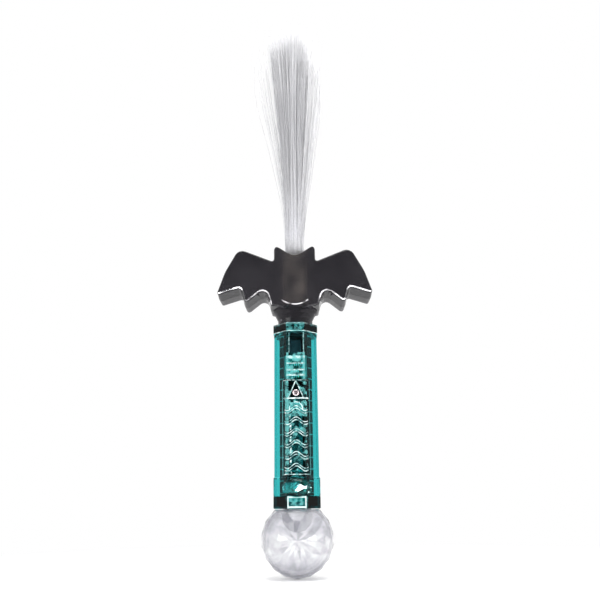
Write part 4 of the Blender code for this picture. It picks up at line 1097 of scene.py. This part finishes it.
# The mirrored studio's light, full and on its open side, and how far a direction has to turn
# to the front for the one to fade into the other.
MIRRORED = (0.9, 0.10)
OPEN_SIDE = (0.35, 0.8)
FLOOR_HALF = 3.0
FLOOR_DROP = 0.0002
FLOOR_GLOW = 0.14
FLOOR_FADE = (0.16, 0.42)


def mix_shaders(tree, share, first, second):
    made = node(tree, "ShaderNodeMixShader")
    tree.links.new(share, made.inputs["Fac"])
    tree.links.new(first, made.inputs[1])
    tree.links.new(second, made.inputs[2])
    return made.outputs["Shader"]


def glow(tree, kind, level):
    made = node(tree, kind)
    made.inputs["Color"].default_value = (*WHITE, 1)
    if isinstance(level, (int, float)):
        made.inputs["Strength"].default_value = level
    else:
        tree.links.new(level, made.inputs["Strength"])
    return made.outputs[0]


def make_world():
    """White to look at and through; mirrored, a studio whose open side is dimmer."""
    world = bpy.data.worlds.new("studio")
    bpy.context.scene.world = world
    world.use_nodes = True
    tree = world.node_tree
    paths = node(tree, "ShaderNodeLightPath").outputs
    along = scaled(tree, place_of(tree, "Generated")[1], -1.0)
    studio = ranged(tree, along, *MIRRORED, *OPEN_SIDE)
    plain = glow(tree, "ShaderNodeBackground", 1.0)
    soft = glow(tree, "ShaderNodeBackground", SOFT_LIGHT)
    mirrored = glow(tree, "ShaderNodeBackground", studio)
    bounced = beyond(tree, paths["Glossy Depth"], 0.5)
    seen = (paths["Is Camera Ray"], paths["Is Transmission Ray"])
    shiny = any_of(tree, *seen, paths["Is Glossy Ray"])
    looked_at = mix_shaders(tree, bounced, plain, mirrored)
    whole = mix_shaders(tree, shiny, soft, looked_at)
    tree.links.new(whole, tree.nodes["World Output"].inputs["Surface"])


def make_floor():
    """A pale floor that keeps the object's shadow and fades into the white background."""
    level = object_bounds()[0][2] - FLOOR_DROP
    corners = ((-1, -1), (1, -1), (1, 1), (-1, 1))
    verts = [(FLOOR_HALF * across, FLOOR_HALF * along, level) for across, along in corners]
    mesh = bpy.data.meshes.new("floor")
    mesh.from_pydata(verts, [], [(0, 1, 2, 3)])
    floor = bpy.data.objects.new("floor", mesh)
    bpy.context.scene.collection.objects.link(floor)
    look, tree, shader = new_material("pale_floor")
    tone = ramp(tree, noise(tree, 6.0), [(0.3, (0.93, 0.93, 0.93)), (0.7, (0.95, 0.95, 0.95))])
    tree.links.new(tone, shader.inputs["Base Color"])
    shader.inputs["Roughness"].default_value = 0.9
    shader.inputs["Specular IOR Level"].default_value = 0.0
    both = node(tree, "ShaderNodeAddShader")
    tree.links.new(shader.outputs["BSDF"], both.inputs[0])
    tree.links.new(glow(tree, "ShaderNodeEmission", FLOOR_GLOW), both.inputs[1])
    away = node(tree, "ShaderNodeVectorMath", operation="LENGTH")
    tree.links.new(object_coordinates(tree), away.inputs[0])
    far = faded_in(tree, away.outputs["Value"], *FLOOR_FADE)
    white = glow(tree, "ShaderNodeEmission", 1.0)
    faded = mix_shaders(tree, far, both.outputs["Shader"], white)
    paths = node(tree, "ShaderNodeLightPath").outputs
    seen = any_of(tree, paths["Is Camera Ray"], paths["Is Transmission Ray"])
    whole = mix_shaders(tree, seen, shader.outputs["BSDF"], faded)
    tree.links.new(whole, tree.nodes["Material Output"].inputs["Surface"])
    mesh.materials.append(look)


HEAD = ("head_front", "head_rear")
BUTTON = ("push_button",)
# Name, place, target, size, watts, and the nodes that a lamp lights where it doesn't light all.
LAMPS = (
    ("left_strip", (-0.50, -0.42, 0.06), (0, 0, 0.0), (0.10, 0.60), 1.6, ()),
    ("right_box", (0.60, -0.45, 0.05), (0, 0, 0.0), (0.22, 0.30), 2.2, ()),
    ("top_box", (0.05, -0.25, 0.75), (0, 0, 0.1), (0.5, 0.5), 4.0, ()),
    ("table_glow", (0.0, -0.30, FOOT - 0.036), (0, -0.25, 0.2), (0.40, 0.10), 0.5, ()),
    ("edge_glint", (0.0, -0.30, FOOT + 0.02), (0, 0, 0.09), (0.50, 0.02), 1.5, HEAD),
    ("crown_glint", (0.0, 0.28, 0.75), (0, 0, 0.12), (0.60, 0.10), 2.5, HEAD),
    ("button_glint", (0.18, -0.42, FOOT), (0, 0, FOOT + 0.012), (0.42, 0.15), 16.0, BUTTON),
)


def lamp(name, place, target, size, power, only):
    """A soft box; one that is for glints alone lights only the named nodes."""
    data = bpy.data.lights.new(name, "AREA")
    data.shape = "RECTANGLE"
    data.size, data.size_y = size
    data.energy = power
    made = bpy.data.objects.new(name, data)
    made.location = place
    aim = Vector(target) - Vector(place)
    made.rotation_euler = aim.to_track_quat("-Z", "Y").to_euler()
    made.visible_camera = False
    bpy.context.scene.collection.objects.link(made)
    if only:
        group = bpy.data.collections.new(name + "_lights")
        for part in only:
            group.objects.link(nodes[part])
        made.light_linking.receiver_collection = group


make_world()
make_floor()
for values in LAMPS:
    lamp(*values)

# Camera: in front of the wand's foot, looking up at the head

PIXELS = 600
FOCAL_PIXELS = 666.0
SENSOR = 36.0
NEAR_CLIP = 0.01
CAMERA_DISTANCE = 0.437
CAMERA_PITCH = 17.4
CAMERA_SIDE = 0.0034
CAMERA_ROLL = -0.72


def make_camera():
    data = bpy.data.cameras.new("camera")
    data.sensor_width = SENSOR
    data.lens = FOCAL_PIXELS / PIXELS * SENSOR
    data.clip_start = NEAR_CLIP
    camera = bpy.data.objects.new("camera", data)
    bpy.context.scene.collection.objects.link(camera)
    tilt = Matrix.Rotation(math.radians(90 + CAMERA_PITCH), 4, "X")
    roll = Matrix.Rotation(math.radians(CAMERA_ROLL), 4, "Z")
    place = Matrix.Translation((CAMERA_SIDE, -CAMERA_DISTANCE, FOOT))
    camera.matrix_world = place @ tilt @ roll
    bpy.context.scene.camera = camera


make_camera()

bpy.context.scene.view_settings.view_transform = "Standard"
